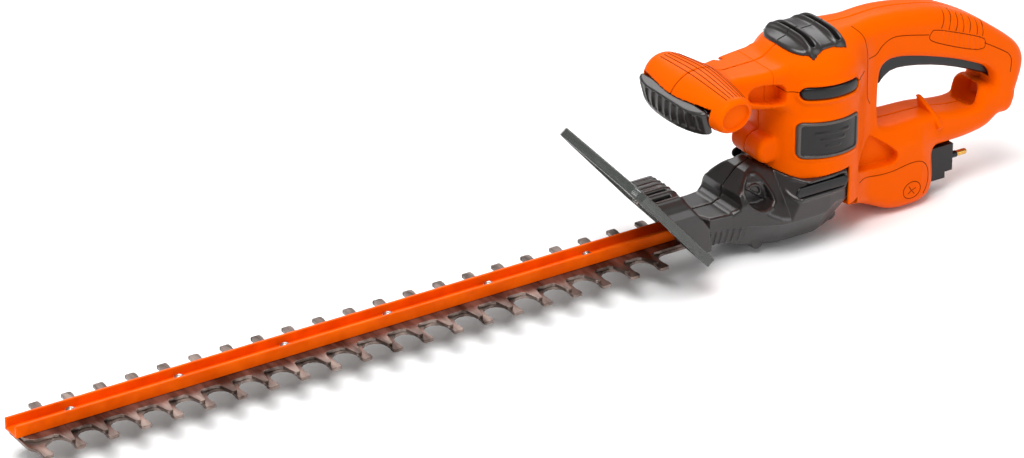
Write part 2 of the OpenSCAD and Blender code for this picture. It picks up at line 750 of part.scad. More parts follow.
// Half of a tooth's angle at radius r, thinned for backlash
function tooth_half(z, r) = let (rp = gear_module * z / 2, rb = rp * cos(pressure_angle))
    90 / z - 0.07 / rp * 180 / PI + involute(rb, rp) - involute(rb, max(r, rb));

function polar(r, a) = [r * cos(a), r * sin(a)];

// Outline of a spur gear with short teeth; the first tooth is centred on angle turn
function gear_outline(z, turn) = let (rp = gear_module * z / 2, rb = rp * cos(pressure_angle),
        root = rp - 1.25 * gear_module, tip = rp + 0.8 * gear_module, foot = max(rb + 0.02, root),
        radii = [root, foot + 0.01, foot + (tip - foot) * 0.35, foot + (tip - foot) * 0.7, tip])
    [for (i = [0:z - 1]) let (a = turn + 360 * i / z)
        each concat([for (r = radii) polar(r, a - tooth_half(z, r))],
            [for (r = reversed(radii)) polar(r, a + tooth_half(z, r))])];

peg_r = 1.25;
peg_y = 5.8;

module pegs_and_shaft_holes(z0, h) {
    translate([0, 0, z0]) cylinder(r = gear_shaft_r + run_gap, h = h);
    for (s = [-1, 1]) translate([0, s * peg_y, z0]) cylinder(r = peg_r + 0.02, h = h);
}

module crank_gear() {
    color("silver") difference() {
        translate([0, 0, gear_z]) linear_extrude(gear_t) polygon(gear_outline(gear_teeth, 0));
        translate([0, 0, gear_z + gear_t - 1.5]) tube(24, 10, 0, 3);
        // The bush sits above the pegs, in its own wider seat
        translate([0, 0, gear_z + 2]) cylinder(r = 4.22, h = 10);
        pegs_and_shaft_holes(gear_z - 1, 3.5);
    }
}

module gear_bush() color("goldenrod") tube(4.2, gear_shaft_r + run_gap, gear_z + 2.05, gear_z + gear_t + 3);

module upper_eccentric() {
    color("gray") difference() {
        translate([throw, 0, upper_z - 0.03]) cylinder(r = eccentric_r, h = gear_z - upper_z - 0.02);
        pegs_and_shaft_holes(upper_z - 1, 12);
    }
}

module lower_eccentric() {
    color("gray") difference() {
        translate([-throw, 0, lower_z - 0.3]) cylinder(r = eccentric_r, h = blade_t + 0.32);
        pegs_and_shaft_holes(lower_z - 1, 6);
    }
}

module eccentric_pins() {
    color("silver") for (s = [-1, 1]) translate([0, s * peg_y, lower_z - 0.2])
        cylinder(r = peg_r, h = gear_z + 2.4 - lower_z);
}

module gear_shaft() {
    color("silver") {
        translate([0, 0, 4.1]) cylinder(r = gear_shaft_r, h = plate_z + 5 - 4.1);
        translate([0, 0, 12.1]) cylinder(r = 5.5, h = 2.4);
    }
}

module bearing_plate() {
    color("lightgray") difference() {
        intersection() {
            translate([0, 0, plate_z]) linear_extrude(5) polygon(inset(case_plan, wall + 0.3));
            translate([-54, -33, 0]) cube([64, 66, 60]);
            union() {
                translate([motor_x, 0, 0]) cylinder(r = tower_r - wall - 0.2, h = 60, $fn = 96);
                translate([-4, -12, 0]) cube([14, 24, 60]);
            }
        }
        translate([motor_x, 0, 0]) cylinder(r = 7.02, h = 60);
        cylinder(r = gear_shaft_r + run_gap, h = 60);
        for (a = [60:60:300]) translate([motor_x, 0, 0]) rotate([0, 0, a]) translate([20, 0, 0])
            cylinder(r = 4, h = 60);
    }
}

// ---- Motor ----

module on_motor() translate([motor_x, 0, 0]) children();

module drive_end_bush() color("goldenrod") on_motor() tube(7, shaft_r + run_gap, plate_z, plate_z + 6);
module commutator_end_bush() color("goldenrod") on_motor() tube(7.5, shaft_r + run_gap, 118, 124);

module armature_shaft() {
    color("silver") on_motor() {
        translate([0, 0, 23]) cylinder(r = pinion_bore, h = 13);
        translate([0, 0, 35.5]) cylinder(r = shaft_r, h = 90.5);
    }
}

module pinion() {
    color("gray") on_motor() difference() {
        translate([0, 0, gear_z - 1]) linear_extrude(gear_t + 3) polygon(gear_outline(pinion_teeth, 180 / pinion_teeth));
        translate([0, 0, gear_z - 2]) cylinder(r = pinion_bore + 0.02, h = gear_t + 5);
    }
}

slot_count = 12;

module armature_slots(r) {
    for (i = [0:slot_count - 1]) rotate([0, 0, i * 360 / slot_count]) translate([11.6, 0, 0])
        cylinder(r = r, h = 200);
}

module armature_core() {
    color("slategray") on_motor() difference() {
        translate([0, 0, stack_z + 1]) cylinder(r = core_r, h = stack_h - 2);
        armature_slots(2.2);
        for (i = [0:slot_count - 1]) rotate([0, 0, i * 360 / slot_count]) translate([12, -0.6, 0])
            cube([6, 1.2, 200]);
        cylinder(r = shaft_r + 0.02, h = 200);
    }
}

module armature_windings() {
    color("chocolate") on_motor() {
        intersection() {
            armature_slots(2.1);
            translate([0, 0, stack_z - 3]) cylinder(r = 20, h = stack_h + 6);
        }
        for (z = [stack_z - 5.5, stack_z + stack_h - 0.5]) translate([0, 0, z]) rotate_extrude()
            polygon([[5, 0], [12, 0], [14.2, 2], [14.2, 4], [12, 6], [5, 6]]);
    }
}

module commutator() {
    color("peru") on_motor() difference() {
        translate([0, 0, 100]) cylinder(r = 10, h = 13);
        cylinder(r = shaft_r + 0.02, h = 200);
        for (i = [0:23]) rotate([0, 0, i * 15]) translate([9.2, -0.25, 101.5]) cube([3, 0.5, 20]);
    }
}

module cooling_fan() {
    color("whitesmoke") on_motor() difference() {
        union() {
            translate([0, 0, 45]) cylinder(r = 30, h = 1.6);
            translate([0, 0, 45]) cylinder(r = 7, h = 8);
            for (i = [0:11]) rotate([0, 0, i * 30]) translate([12, -0.7, 46]) cube([17.5, 1.4, 6.5]);
        }
        cylinder(r = shaft_r + 0.02, h = 200);
    }
}

pole_face_r = 16.5;

module pole_space(r0, r1, z0, z1) {
    intersection() {
        tube(r1, r0, z0, z1);
        translate([-40, -14, 0]) cube([80, 28, 200]);
    }
}

module stator_core() {
    color("slategray") on_motor() {
        tube(stator_r, 25, stack_z, stack_z + stack_h);
        pole_space(pole_face_r, 20, stack_z, stack_z + stack_h);
        for (s = [-1, 1]) translate([s > 0 ? 19 : -25.5, -5, stack_z]) cube([6.5, 10, stack_h]);
    }
}

module field_coils() {
    color("chocolate") on_motor() difference() {
        pole_space(20.2, 24.8, stack_z - 4, stack_z + stack_h + 4);
        translate([-40, -5.2, stack_z - 0.2]) cube([80, 10.4, stack_h + 0.4]);
    }
}

module both_brushes() on_motor() for (s = [0, 180]) rotate([0, 0, s]) translate([0, 0, brush_z]) children();

module brush_holders() {
    color("goldenrod") both_brushes() difference() {
        translate([-5, 11.5, -6.5]) cube([10, 18.5, 13]);
        translate([-3.2, 10, -4.2]) cube([6.4, 18.5, 8.4]);
    }
}

module carbon_brushes() color("dimgray") both_brushes() translate([-3.1, 10.3, -4.1]) cube([6.2, 10, 8.2]);

module brush_springs() {
    color("silver") both_brushes() translate([0, 20.5, 0]) rotate([-90, 0, 0]) coil_spring(2.4, 0.3, 7.8, 5);
}

// ---- Rear trigger and switch ----

module rear_trigger() {
    color("black") difference() {
        union() {
            turned_trigger(0, 0, trigger_w);
            translate([-129, -3, 103]) cube([6, 6, 3]);
        }
        y_cylinder(pivot_x, pivot_z, pin_r + run_gap, -20, 20);
    }
}

module trigger_pin() color("silver") y_cylinder(pivot_x, pivot_z, pin_r, -13, 13);

module trigger_spring() color("silver") translate([-160, 0, 94.4]) coil_spring(4, 0.5, 22.4, 6);

module rear_switch() {
    color("black") difference() {
        translate([-141, -7, 110.6]) cube([29, 14, 16]);
        translate([-126, 0, 100]) cylinder(r = 2.8, h = 20);
    }
}

module rear_switch_button() color("red") translate([-126, 0, 106.3]) cylinder(r = 2.4, h = 9);

module suppressor_capacitor() color("gold") translate([-112, -15, 8]) cube([24, 11, 17]);

module motor_leads() {
    color("brown") {
        lead([[-127.9, 6, 22], [-96, 6, 28], [-78, 6, 58], [-78, 6, 112], [-96, 6, 128], [-111.8, 3, 124]], 1.2);
        lead([[-111.8, -3, 124], [-96, -6, 128], [-76, -8, 108], [-60, -16, 104], [-41.5, -24, 104]], 1.2);
        lead([[40.6, 4, 121.5], [20, 4, 116], [0, 4, 114], [-12, 14, 108], [-28.8, 24, 106]], 1.2);
    }
}

// ---- Mains inlet ----

module inlet_block() {
    color("black") difference() {
        union() {
            translate([-142, -13, 9.6]) cube([14, 26, 23.8]);
            translate([-148, -13, 14]) cube([6.5, 26, 19.4]);
        }
        for (s = [-1, 1]) translate([-150, s * pin_spacing / 2, mains_pin_z]) rotate([0, 90, 0])
            cylinder(r = 2.35, h = 16);
        translate([-131, -11, 12]) cube([10, 22, 19]);
    }
}

module at_pins() for (s = [-1, 1]) translate([0, s * pin_spacing / 2, mains_pin_z]) children();

module inlet_pins() {
    color("gold") at_pins() {
        translate([-160, 0, 0]) rotate([0, 90, 0]) cylinder(r = mains_pin_r, h = 6.6);
        translate([-154, 0, 0]) rotate([0, 90, 0]) cylinder(r = mains_pin_core_r, h = 19.6);
        translate([-160, 0, 0]) intersection() {
            sphere(r = mains_pin_r);
            translate([-5, -5, -5]) cube([5.1, 10, 10]);
        }
    }
}

module pin_sleeves() {
    color("black") at_pins() translate([-153, 0, 0]) rotate([0, 90, 0]) tube(2.3, mains_pin_core_r + 0.02, 0, 16);
}

module housing_screws() color("silver") screws(housing_screw_at, 11, 1.5, 3, 2.2);

housing_left();
housing_right();
front_handle_left();
front_handle_right();
gear_case_left();
gear_case_right();
vent_cap_left();
vent_cap_right();
side_vents();
exhaust_vents();
side_plates();
guard();
guard_collar();
guard_screws();
blade_beam();
beam_pins();
blade_bolts();
blade_sleeves();
blade_washers();
blade_nuts();
lower_blade();
upper_blade();
crank_gear();
upper_eccentric();
lower_eccentric();
eccentric_pins();
gear_bush();
gear_shaft();
bearing_plate();
drive_end_bush();
commutator_end_bush();
stator_core();
field_coils();
armature_shaft();
armature_core();
armature_windings();
commutator();
cooling_fan();
pinion();
brush_holders();
carbon_brushes();
brush_springs();
rear_trigger();
trigger_pin();
trigger_spring();
rear_switch();
rear_switch_button();
front_lever();
lever_springs();
front_switch();
front_switch_button();
inlet_block();
inlet_pins();
pin_sleeves();
suppressor_capacitor();
motor_leads();
housing_screws();
front_handle_screws();
gear_case_screws();
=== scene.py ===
import math

import bpy
import numpy as np
from mathutils import Matrix, Vector


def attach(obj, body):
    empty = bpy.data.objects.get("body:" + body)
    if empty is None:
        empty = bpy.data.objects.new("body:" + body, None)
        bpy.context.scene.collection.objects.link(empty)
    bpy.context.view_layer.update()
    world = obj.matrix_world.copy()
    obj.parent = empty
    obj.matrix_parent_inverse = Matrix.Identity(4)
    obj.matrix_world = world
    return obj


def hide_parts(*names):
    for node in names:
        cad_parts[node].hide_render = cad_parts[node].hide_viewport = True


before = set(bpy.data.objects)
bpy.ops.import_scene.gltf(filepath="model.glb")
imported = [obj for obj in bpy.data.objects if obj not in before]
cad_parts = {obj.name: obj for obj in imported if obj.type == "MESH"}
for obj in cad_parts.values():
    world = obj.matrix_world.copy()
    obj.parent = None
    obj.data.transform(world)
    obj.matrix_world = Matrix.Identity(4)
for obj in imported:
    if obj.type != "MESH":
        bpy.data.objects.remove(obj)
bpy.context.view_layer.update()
MM = 0.001
COARSE = 1.0

# ---------------------------------------------------------------- shapes as distance fields, in millimetres


def smin(a, b, k):
    """Union of two fields with a fillet of about k."""
    h = np.maximum(k - np.abs(a - b), 0) / k
    return np.minimum(a, b) - h * h * k * 0.25


def smax(a, b, k):
    """Intersection of two fields with a rounded edge of about k."""
    return -smin(-a, -b, k)


def softened(pts, times=2):
    """A closed outline with its corners cut again and again, which rounds it."""
    p = np.array(pts, float)
    for _ in range(times):
        q = np.roll(p, -1, axis=0)
        p = np.stack([p * 0.75 + q * 0.25, p * 0.25 + q * 0.75], axis=1).reshape(-1, 2)
    return p


class Outline:
    """Signed distance to a closed 2-D outline, tabled on a fine grid."""

    step = 0.5
    margin = 14

    def __init__(self, pts, soft=0):
        pts = softened(pts, soft) if soft else np.array(pts, float)
        self.lo = pts.min(0) - self.margin
        self.n = (np.ceil((pts.max(0) + self.margin - self.lo) / self.step)).astype(int) + 1
        u = (self.lo[0] + self.step * np.arange(self.n[0]))[:, None]
        w = (self.lo[1] + self.step * np.arange(self.n[1]))[None, :]
        near, sign = None, 1.0
        for i in range(len(pts)):
            (ax, az), (bx, bz) = pts[i], pts[i - 1]
            ex, ez = bx - ax, bz - az
            if ex * ex + ez * ez < 1e-12:
                continue
            wx, wz = u - ax, w - az
            t = np.clip((wx * ex + wz * ez) / (ex * ex + ez * ez), 0, 1)
            dd = (wx - ex * t) ** 2 + (wz - ez * t) ** 2
            near = dd if near is None else np.minimum(near, dd)
            above, below, left = w >= az, w < bz, ex * wz > ez * wx
            flip = (above & below & left) | (~above & ~below & ~left)
            sign = np.where(flip, -sign, sign)
        self.table = (sign * np.sqrt(near)).astype(np.float32)

    def __call__(self, u, w):
        fu, fw = (u - self.lo[0]) / self.step, (w - self.lo[1]) / self.step
        cu, cw = np.clip(fu, 0, self.n[0] - 1.001), np.clip(fw, 0, self.n[1] - 1.001)
        iu, iw = cu.astype(int), cw.astype(int)
        tu, tw = cu - iu, cw - iw
        t = self.table
        inside = (t[iu, iw] * (1 - tu) + t[iu + 1, iw] * tu) * (1 - tw) + (
            t[iu, iw + 1] * (1 - tu) + t[iu + 1, iw + 1] * tu
        ) * tw
        return inside + self.step * np.hypot(fu - cu, fw - cw)


def slab(d2, t, half, r):
    """A 2-D field extruded to +-half across t, with edges rounded to r."""
    a, b = d2 + r, np.abs(t) - half + r
    return np.minimum(np.maximum(a, b), 0) + np.hypot(np.maximum(a, 0), np.maximum(b, 0)) - r


def pill(u, w, half_length, r):
    return np.hypot(np.maximum(np.abs(u) - (half_length - r), 0), w) - r


def brick(x, y, z, centre, half, r=0.0):
    a, b, c = (np.abs(x - centre[0]) - half[0] + r, np.abs(y - centre[1]) - half[1] + r,
               np.abs(z - centre[2]) - half[2] + r)
    outside = np.sqrt(np.maximum(a, 0) ** 2 + np.maximum(b, 0) ** 2 + np.maximum(c, 0) ** 2)
    return outside + np.minimum(np.maximum(np.maximum(a, b), c), 0) - r


def bell(q, width):
    return np.exp(-((q / width) ** 2))


def step_up(q, width):
    """0 where q is well below zero and 1 where it is well above."""
    t = np.clip(q / width * 0.5 + 0.5, 0, 1)
    return t * t * (3 - 2 * t)


CORNERS = np.array([(i, j, k) for i in (0, 1) for j in (0, 1) for k in (0, 1)])
EDGES = [(a, b) for a in range(8) for b in range(a + 1, 8) if np.abs(CORNERS[a] - CORNERS[b]).sum() == 1]


def surface(field, lo, hi, h, passes=2):
    """Vertices and quads on the zero level of a field, one vertex per cell, moved there by Newton steps."""
    lo, hi = np.array(lo, float), np.array(hi, float)
    n = np.ceil((hi - lo) / h).astype(int) + 1
    ax = [(lo[i] + h * np.arange(n[i])).astype(np.float32) for i in range(3)]
    d = field(ax[0][:, None, None], ax[1][None, :, None], ax[2][None, None, :])
    d = np.ascontiguousarray(np.broadcast_to(d, n), dtype=np.float32)
    s = d < 0
    c = n - 1
    count = np.zeros(c, np.int8)
    for i, j, k in CORNERS:
        count += s[i : i + c[0], j : j + c[1], k : k + c[2]]
    cells = np.argwhere((count > 0) & (count < 8))
    index = np.full(c, -1, np.int64)
    index[cells[:, 0], cells[:, 1], cells[:, 2]] = np.arange(len(cells))
    corner = [d[cells[:, 0] + i, cells[:, 1] + j, cells[:, 2] + k] for i, j, k in CORNERS]
    total, hits = np.zeros((len(cells), 3)), np.zeros(len(cells))
    for a, b in EDGES:
        m = (corner[a] < 0) != (corner[b] < 0)
        t = (corner[a][m] / (corner[a][m] - corner[b][m]))[:, None]
        total[m] += CORNERS[a] + t * (CORNERS[b] - CORNERS[a])
        hits[m] += 1
    v = lo + h * (cells + total / hits[:, None])
    e = 0.04
    for _ in range(passes):
        f = field(v[:, 0], v[:, 1], v[:, 2])
        g = np.stack([field(v[:, 0] + e * (i == 0), v[:, 1] + e * (i == 1), v[:, 2] + e * (i == 2)) - f
                      for i in range(3)], axis=1) / e
        size = np.maximum((g * g).sum(1), 0.2)
        v -= np.clip(f / size, -0.5 * h, 0.5 * h)[:, None] * g
    quads = []
    for axis in range(3):
        b, w = [(1, 2), (2, 0), (0, 1)][axis]
        cut = [slice(None)] * 3
        cut[axis] = slice(0, n[axis] - 1)
        nxt = list(cut)
        nxt[axis] = slice(1, n[axis])
        at = np.argwhere(s[tuple(cut)] != s[tuple(nxt)])
        at = at[(at[:, b] > 0) & (at[:, w] > 0) & (at[:, b] < c[b]) & (at[:, w] < c[w])]
        ring = []
        for ob, ow in ((-1, -1), (0, -1), (0, 0), (-1, 0)):
            p = at.copy()
            p[:, b] += ob
            p[:, w] += ow
            ring.append(index[p[:, 0], p[:, 1], p[:, 2]])
        ring = np.stack(ring, axis=1)
        out = ~s[at[:, 0], at[:, 1], at[:, 2]]
        ring[out] = ring[out][:, ::-1]
        quads.append(ring)
    quads = np.concatenate(quads)
    return v, quads[(quads >= 0).all(1)]


def tube_along(points, r, sides=6, out=(0, 1, 0)):
    """A thin tube through points, with its rings square to the path."""
    p = np.array(points, float)
    t = np.gradient(p, axis=0)
    t /= np.linalg.norm(t, axis=1)[:, None] + 1e-9
    u = np.cross(t, np.array(out, float))
    u /= np.linalg.norm(u, axis=1)[:, None] + 1e-9
    w = np.cross(u, t)
    a = 2 * math.pi * np.arange(sides) / sides
    across, up = np.cos(a)[None, :, None], np.sin(a)[None, :, None]
    v = p[:, None, :] + r * (across * u[:, None, :] + up * w[:, None, :])
    rows = []
    for i in range(len(p) - 1):
        for j in range(sides):
            k = (j + 1) % sides
            rows.append((i * sides + j, i * sides + k, (i + 1) * sides + k, (i + 1) * sides + j))
    return v.reshape(-1, 3), np.array(rows)


def spread(points, gap=1.0):
    """Points every gap millimetres along a polyline."""
    p = np.array(points, float)
    out = [p[0]]
    for a, b in zip(p[:-1], p[1:]):
        k = max(1, int(np.linalg.norm(b - a) / gap))
        out += [a + (b - a) * i / k for i in range(1, k + 1)]
    return np.array(out)


def bent(points, times=3):
    """An open polyline with rounded corners."""
    p = np.array(points, float)
    for _ in range(times):
        cut = np.stack([p[:-1] * 0.75 + p[1:] * 0.25, p[:-1] * 0.25 + p[1:] * 0.75], axis=1)
        q = cut.reshape(-1, p.shape[1])
        p = np.concatenate([p[:1], q, p[-1:]])
    return p


def trace(field, path, reach=46.0):
    """The points where the near surface of a field lies under a path in X and Z, seen along Y."""
    p = spread(path)
    y = np.arange(reach, 0, -0.25)
    d = field(p[:, 0][:, None], y[None, :], p[:, 1][:, None])
    met = (d < 0).any(axis=1)
    p, d = p[met], d[met]
    first = np.maximum(np.argmax(d < 0, axis=1), 1)
    row = np.arange(len(p))
    out, into = d[row, first - 1], d[row, first]
    return np.stack([p[:, 0], y[first - 1] - 0.25 * out / (out - into + 1e-9), p[:, 1]], axis=1)


# ---------------------------------------------------------------- materials


def lin(r, g, b):
    """Linear colour of an 8-bit display colour."""
    bright = ((c / 255 / 12.92) if c <= 10 else ((c / 255 + 0.055) / 1.055) ** 2.4 for c in (r, g, b))
    return tuple(bright) + (1.0,)


def finish_of(name, colour, rough, metal=0.0, grain=900.0, bump=0.08, vary=0.08, stretch=(1, 1, 1), coat=0.0,
              specular=0.5, second=None, patch=60.0, through=0.0, tint=(1, 1, 1, 1)):
    """A material of mottled colour, uneven roughness and a fine grain, from noise in the object's frame."""
    m = bpy.data.materials.new(name)
    m.use_nodes = True
    nodes, links = m.node_tree.nodes, m.node_tree.links
    p = nodes["Principled BSDF"]
    where = nodes.new("ShaderNodeTexCoord")
    turn = nodes.new("ShaderNodeMapping")
    turn.inputs["Scale"].default_value = stretch
    links.new(where.outputs["Object"], turn.inputs["Vector"])

    def noise(scale, detail):
        t = nodes.new("ShaderNodeTexNoise")
        t.inputs["Scale"].default_value = scale
        t.inputs["Detail"].default_value = detail
        links.new(turn.outputs["Vector"], t.inputs["Vector"])
        return t.outputs["Fac"]

    ramp = nodes.new("ShaderNodeValToRGB")
    dark = second or tuple(c * (1 - vary) for c in colour[:3]) + (1.0,)
    ramp.color_ramp.elements[0].position = 0.35
    ramp.color_ramp.elements[1].position = 0.65
    ramp.color_ramp.elements[0].color = dark
    ramp.color_ramp.elements[1].color = colour
    links.new(noise(patch, 3.0), ramp.inputs["Fac"])
    links.new(ramp.outputs["Color"], p.inputs["Base Color"])
    spread_of = nodes.new("ShaderNodeMapRange")
    spread_of.inputs["To Min"].default_value = rough * 0.88
    spread_of.inputs["To Max"].default_value = min(1.0, rough * 1.12)
    links.new(noise(patch * 2.3, 4.0), spread_of.inputs["Value"])
    links.new(spread_of.outputs["Result"], p.inputs["Roughness"])
    if bump:
        b = nodes.new("ShaderNodeBump")
        b.inputs["Strength"].default_value = bump
        b.inputs["Distance"].default_value = 0.0002
        links.new(noise(grain, 2.0), b.inputs["Height"])
        links.new(b.outputs["Normal"], p.inputs["Normal"])
    p.inputs["Metallic"].default_value = metal
    p.inputs["Specular IOR Level"].default_value = specular
    p.inputs["Coat Weight"].default_value = coat
    p.inputs["Transmission Weight"].default_value = through
    p.inputs["Specular Tint"].default_value = tint
    return m


WARM = (1.0, 0.30, 0.02, 1.0)
ORANGE = finish_of("orange_plastic", lin(228, 88, 0), 0.34, vary=0.03, grain=1500, bump=0.05,
                   specular=0.06, tint=WARM)
# Dark orange for the thin tubes along the panel lines: painted shade of the grooves
GROOVE_PAINTED_SHADE = finish_of("orange_groove_painted_shade", lin(96, 28, 0), 0.7, vary=0.05, bump=0.0, specular=0.1, tint=WARM)
PAINT = finish_of("orange_paint", lin(238, 94, 6), 0.30, vary=0.06, grain=700, bump=0.10,
                  specular=0.15, tint=WARM, second=lin(222, 80, 2))
DARK = finish_of("grey_plastic", lin(38, 34, 33), 0.30, vary=0.15, grain=1600, bump=0.10, specular=0.6)
BLACK = finish_of("black_plastic", lin(15, 15, 18), 0.30, vary=0.15, grain=1600, bump=0.06, specular=0.35)
# Near black for sheets at the bottoms of the vent cap's slits: painted shade of the slits' depth
SLIT_PAINTED_SHADE = finish_of("black_recess_painted_shade", lin(5, 5, 6), 0.8, vary=0.1, bump=0.0, specular=0.1)
TRIM = finish_of("grey_trim", lin(24, 22, 22), 0.36, vary=0.10, grain=1500, bump=0.06, specular=0.35)
BORDER = finish_of("grey_border", lin(72, 66, 62), 0.34, vary=0.10, grain=1500, bump=0.08)
SMOKE = finish_of("smoke_plastic", lin(84, 88, 84), 0.16, vary=0.06, bump=0.03, through=0.5)
GROUND = finish_of("ground_steel", lin(140, 124, 116), 0.36, metal=0.85, grain=500, bump=0.25,
                   second=lin(70, 56, 50), stretch=(1.0, 0.25, 1.0), patch=120)
BRIGHT = finish_of("bright_steel", lin(196, 192, 188), 0.28, metal=1.0, vary=0.2, grain=600, bump=0.15)
DULL = finish_of("dull_steel", lin(120, 114, 110), 0.40, metal=0.9, vary=0.25, grain=600, bump=0.2)
BRASS = finish_of("brass", lin(206, 160, 82), 0.25, metal=1.0, vary=0.12, grain=800, bump=0.08)
BRONZE = finish_of("bronze", lin(170, 122, 70), 0.38, metal=1.0, vary=0.15, grain=800, bump=0.12)
COPPER = finish_of("copper_wire", lin(176, 92, 56), 0.32, metal=1.0, vary=0.2, grain=1500, bump=0.4,
                   stretch=(1, 1, 6))
ALLOY = finish_of("cast_alloy", lin(150, 152, 154), 0.5, metal=0.8, vary=0.1, grain=900, bump=0.3)
WHITE = finish_of("white_plastic", lin(222, 220, 214), 0.45, vary=0.04, grain=1200, bump=0.1)
RED = finish_of("red_plastic", lin(176, 28, 22), 0.4, vary=0.08, grain=1200, bump=0.1)
YELLOW = finish_of("yellow_plastic", lin(208, 168, 40), 0.4, vary=0.06, grain=1200, bump=0.1)
CARBON = finish_of("carbon", lin(40, 40, 42), 0.6, vary=0.2, grain=1500, bump=0.3)
SHEATH = finish_of("lead_sheath", lin(96, 52, 36), 0.45, vary=0.1, grain=1200, bump=0.1)

# ---------------------------------------------------------------- pieces


def piece(name, parts, body, stands_for=(), turn=None):
    """One mesh object from (vertices, quads, material) triples, in millimetres."""
    mesh = bpy.data.meshes.new(name)
    looks, verts, faces, which, base = [], [], [], [], 0
    for v, q, look in parts:
        if look not in looks:
            looks.append(look)
        verts.append(v)
        faces.append(q + base)
        which.append(np.full(len(q), looks.index(look), np.int32))
        base += len(v)
    v, q, which = np.concatenate(verts) * MM, np.concatenate(faces), np.concatenate(which)
    mesh.vertices.add(len(v))
    mesh.vertices.foreach_set("co", v.astype(np.float32).ravel())
    mesh.loops.add(q.size)
    mesh.loops.foreach_set("vertex_index", q.astype(np.int32).ravel())
    mesh.polygons.add(len(q))
    mesh.polygons.foreach_set("loop_start", (np.arange(len(q)) * q.shape[1]).astype(np.int32))
    mesh.polygons.foreach_set("material_index", which)
    mesh.polygons.foreach_set("use_smooth", np.ones(len(q), bool))
    mesh.update(calc_edges=True)
    for look in looks:
        mesh.materials.append(look)
    o = bpy.data.objects.new(name, mesh)
    bpy.context.scene.collection.objects.link(o)
    if turn is not None:
        mesh.transform(turn)
    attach(o, body)
    for node in stands_for:
        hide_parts(node)
    return o


def flipped(v, q):
    """The mirror image across Y = 0."""
    return v * np.array([1, -1, 1]), q[:, ::-1]


# ---------------------------------------------------------------- orange housing and front handle

MOTOR_X = -35.0
SEAM = 0.2
WALL = 2.6
HANDLE = Outline([(-40, 34), (-40, 137), (-61, 139), (-80, 141), (-98, 140.5), (-127, 135.5), (-142, 130.8),
                  (-167, 118), (-194, 98.5), (-203.5, 89), (-206, 78), (-200.5, 60), (-196, 48), (-185, 44),
                  (-176, 37), (-160, 34.5), (-150, 34)], 3)
OPENING = Outline([(-84, 66), (-84, 100), (-87, 107), (-97, 108), (-118, 103), (-143, 95), (-162, 87),
                   (-172, 82), (-177, 75), (-176, 65), (-165, 57), (-150, 57.5), (-133, 61),
                   (-117, 62), (-102, 62), (-90, 62.5)], 2)
BULGE = Outline([(-45, 16), (-45, 60), (-112, 55), (-127, 41), (-131, 33), (-134, 12), (-128, 2),
                 (-113, -0.6), (-93, 0.5), (-78, 8), (-66, 13)], 2)
BULGE_PLAN = Outline([(-30, 22.8), (-112, 22.8), (-128, 19), (-134.5, 12), (-134.5, -12), (-128, -19),
                      (-112, -22.8), (-30, -22.8)], 1)
CASE_PLAN = Outline([(57, 19), (38, 20), (28, 23.5), (8, 34), (-2, 36), (-40, 36), (-52, 30), (-58, 20),
                     (-58, -20), (-52, -30), (-40, -36), (-2, -36), (8, -34), (28, -23.5), (38, -20),
                     (57, -19)], 1)
CASE_TOP = [(90, 63.1), (12, 63.1), (6, 57.6), (0, 55), (-6, 52.3), (-12, 50.2), (-21, 51), (-31, 52.3),
            (-45, 53), (-58.3, 53)]
CASE_ROOM = Outline([(-58.3, -20), (90, -20)] + CASE_TOP)
TRIGGER_PTS = [(-88, 88), (-87.4, 100), (-89, 112), (-92, 120.5), (-100, 120.5), (-105, 111), (-118, 107),
               (-143, 99), (-168, 89), (-180, 83.5), (-185.4, 80), (-185.4, 75), (-182, 73), (-174, 75.5),
               (-157, 83.5), (-136, 91), (-115, 96), (-99, 97.5), (-91, 93)]
TRIGGER = Outline(TRIGGER_PTS, 1)
PIVOT_X, PIVOT_Z = -96, 116
HEX = Outline([(-58, 52), (-72, 61), (-76, 60), (-94, 46.5), (-95, 40), (-90, 36.5), (-58, 40)], 1)
NECK_SIDE = Outline([(-12, 97), (8, 101), (32, 105), (48, 108), (48, 124), (36, 127.5), (22, 127.5),
                     (2, 128), (-12, 129)], 1)
NECK_PLAN = Outline([(50, 14), (30, 19), (12, 22), (-12, 23), (-12, -23), (12, -22), (30, -19), (50, -14)], 1)
NECK_POCKET = Outline([(24.5, 117), (19, 120.6), (1, 118.2), (-3.2, 113.5), (-3.2, 105), (0, 102.8),
                       (19, 107.5), (24.5, 111)], 1)
BAR_TILT = math.radians(16)
BAR_X, BAR_Z = 53, 118
# The cross bar's reach to the operator's left and right, the roundness of its ends, and its taper
BAR_REACH, BAR_ROUND = (47.0, 41.0), (5.0, 9.0)
BAR_THIN, BAR_LOW = (7.0, 6.0), (4.4, 1.6)


def in_bar(x, z):
    """Coordinates along and above the front handle's tilted cross bar."""
    c, s = math.cos(BAR_TILT), math.sin(BAR_TILT)
    return (x - BAR_X) * c - (z - BAR_Z) * s, (x - BAR_X) * s + (z - BAR_Z) * c


def bar_size(y, right):
    """Half thickness and half height of the cross bar at a distance y from the middle."""
    taper = (np.sqrt((y / BAR_REACH[right]) ** 2 + 0.09) - 0.3) / 0.744
    return 20 - BAR_THIN[right] * taper, 15 - BAR_LOW[right] * taper


def bar_ring(lx, lz, a, b):
    return (np.sqrt((lx / a) ** 2 + (lz / b) ** 2 + 1e-9) - 1) * b


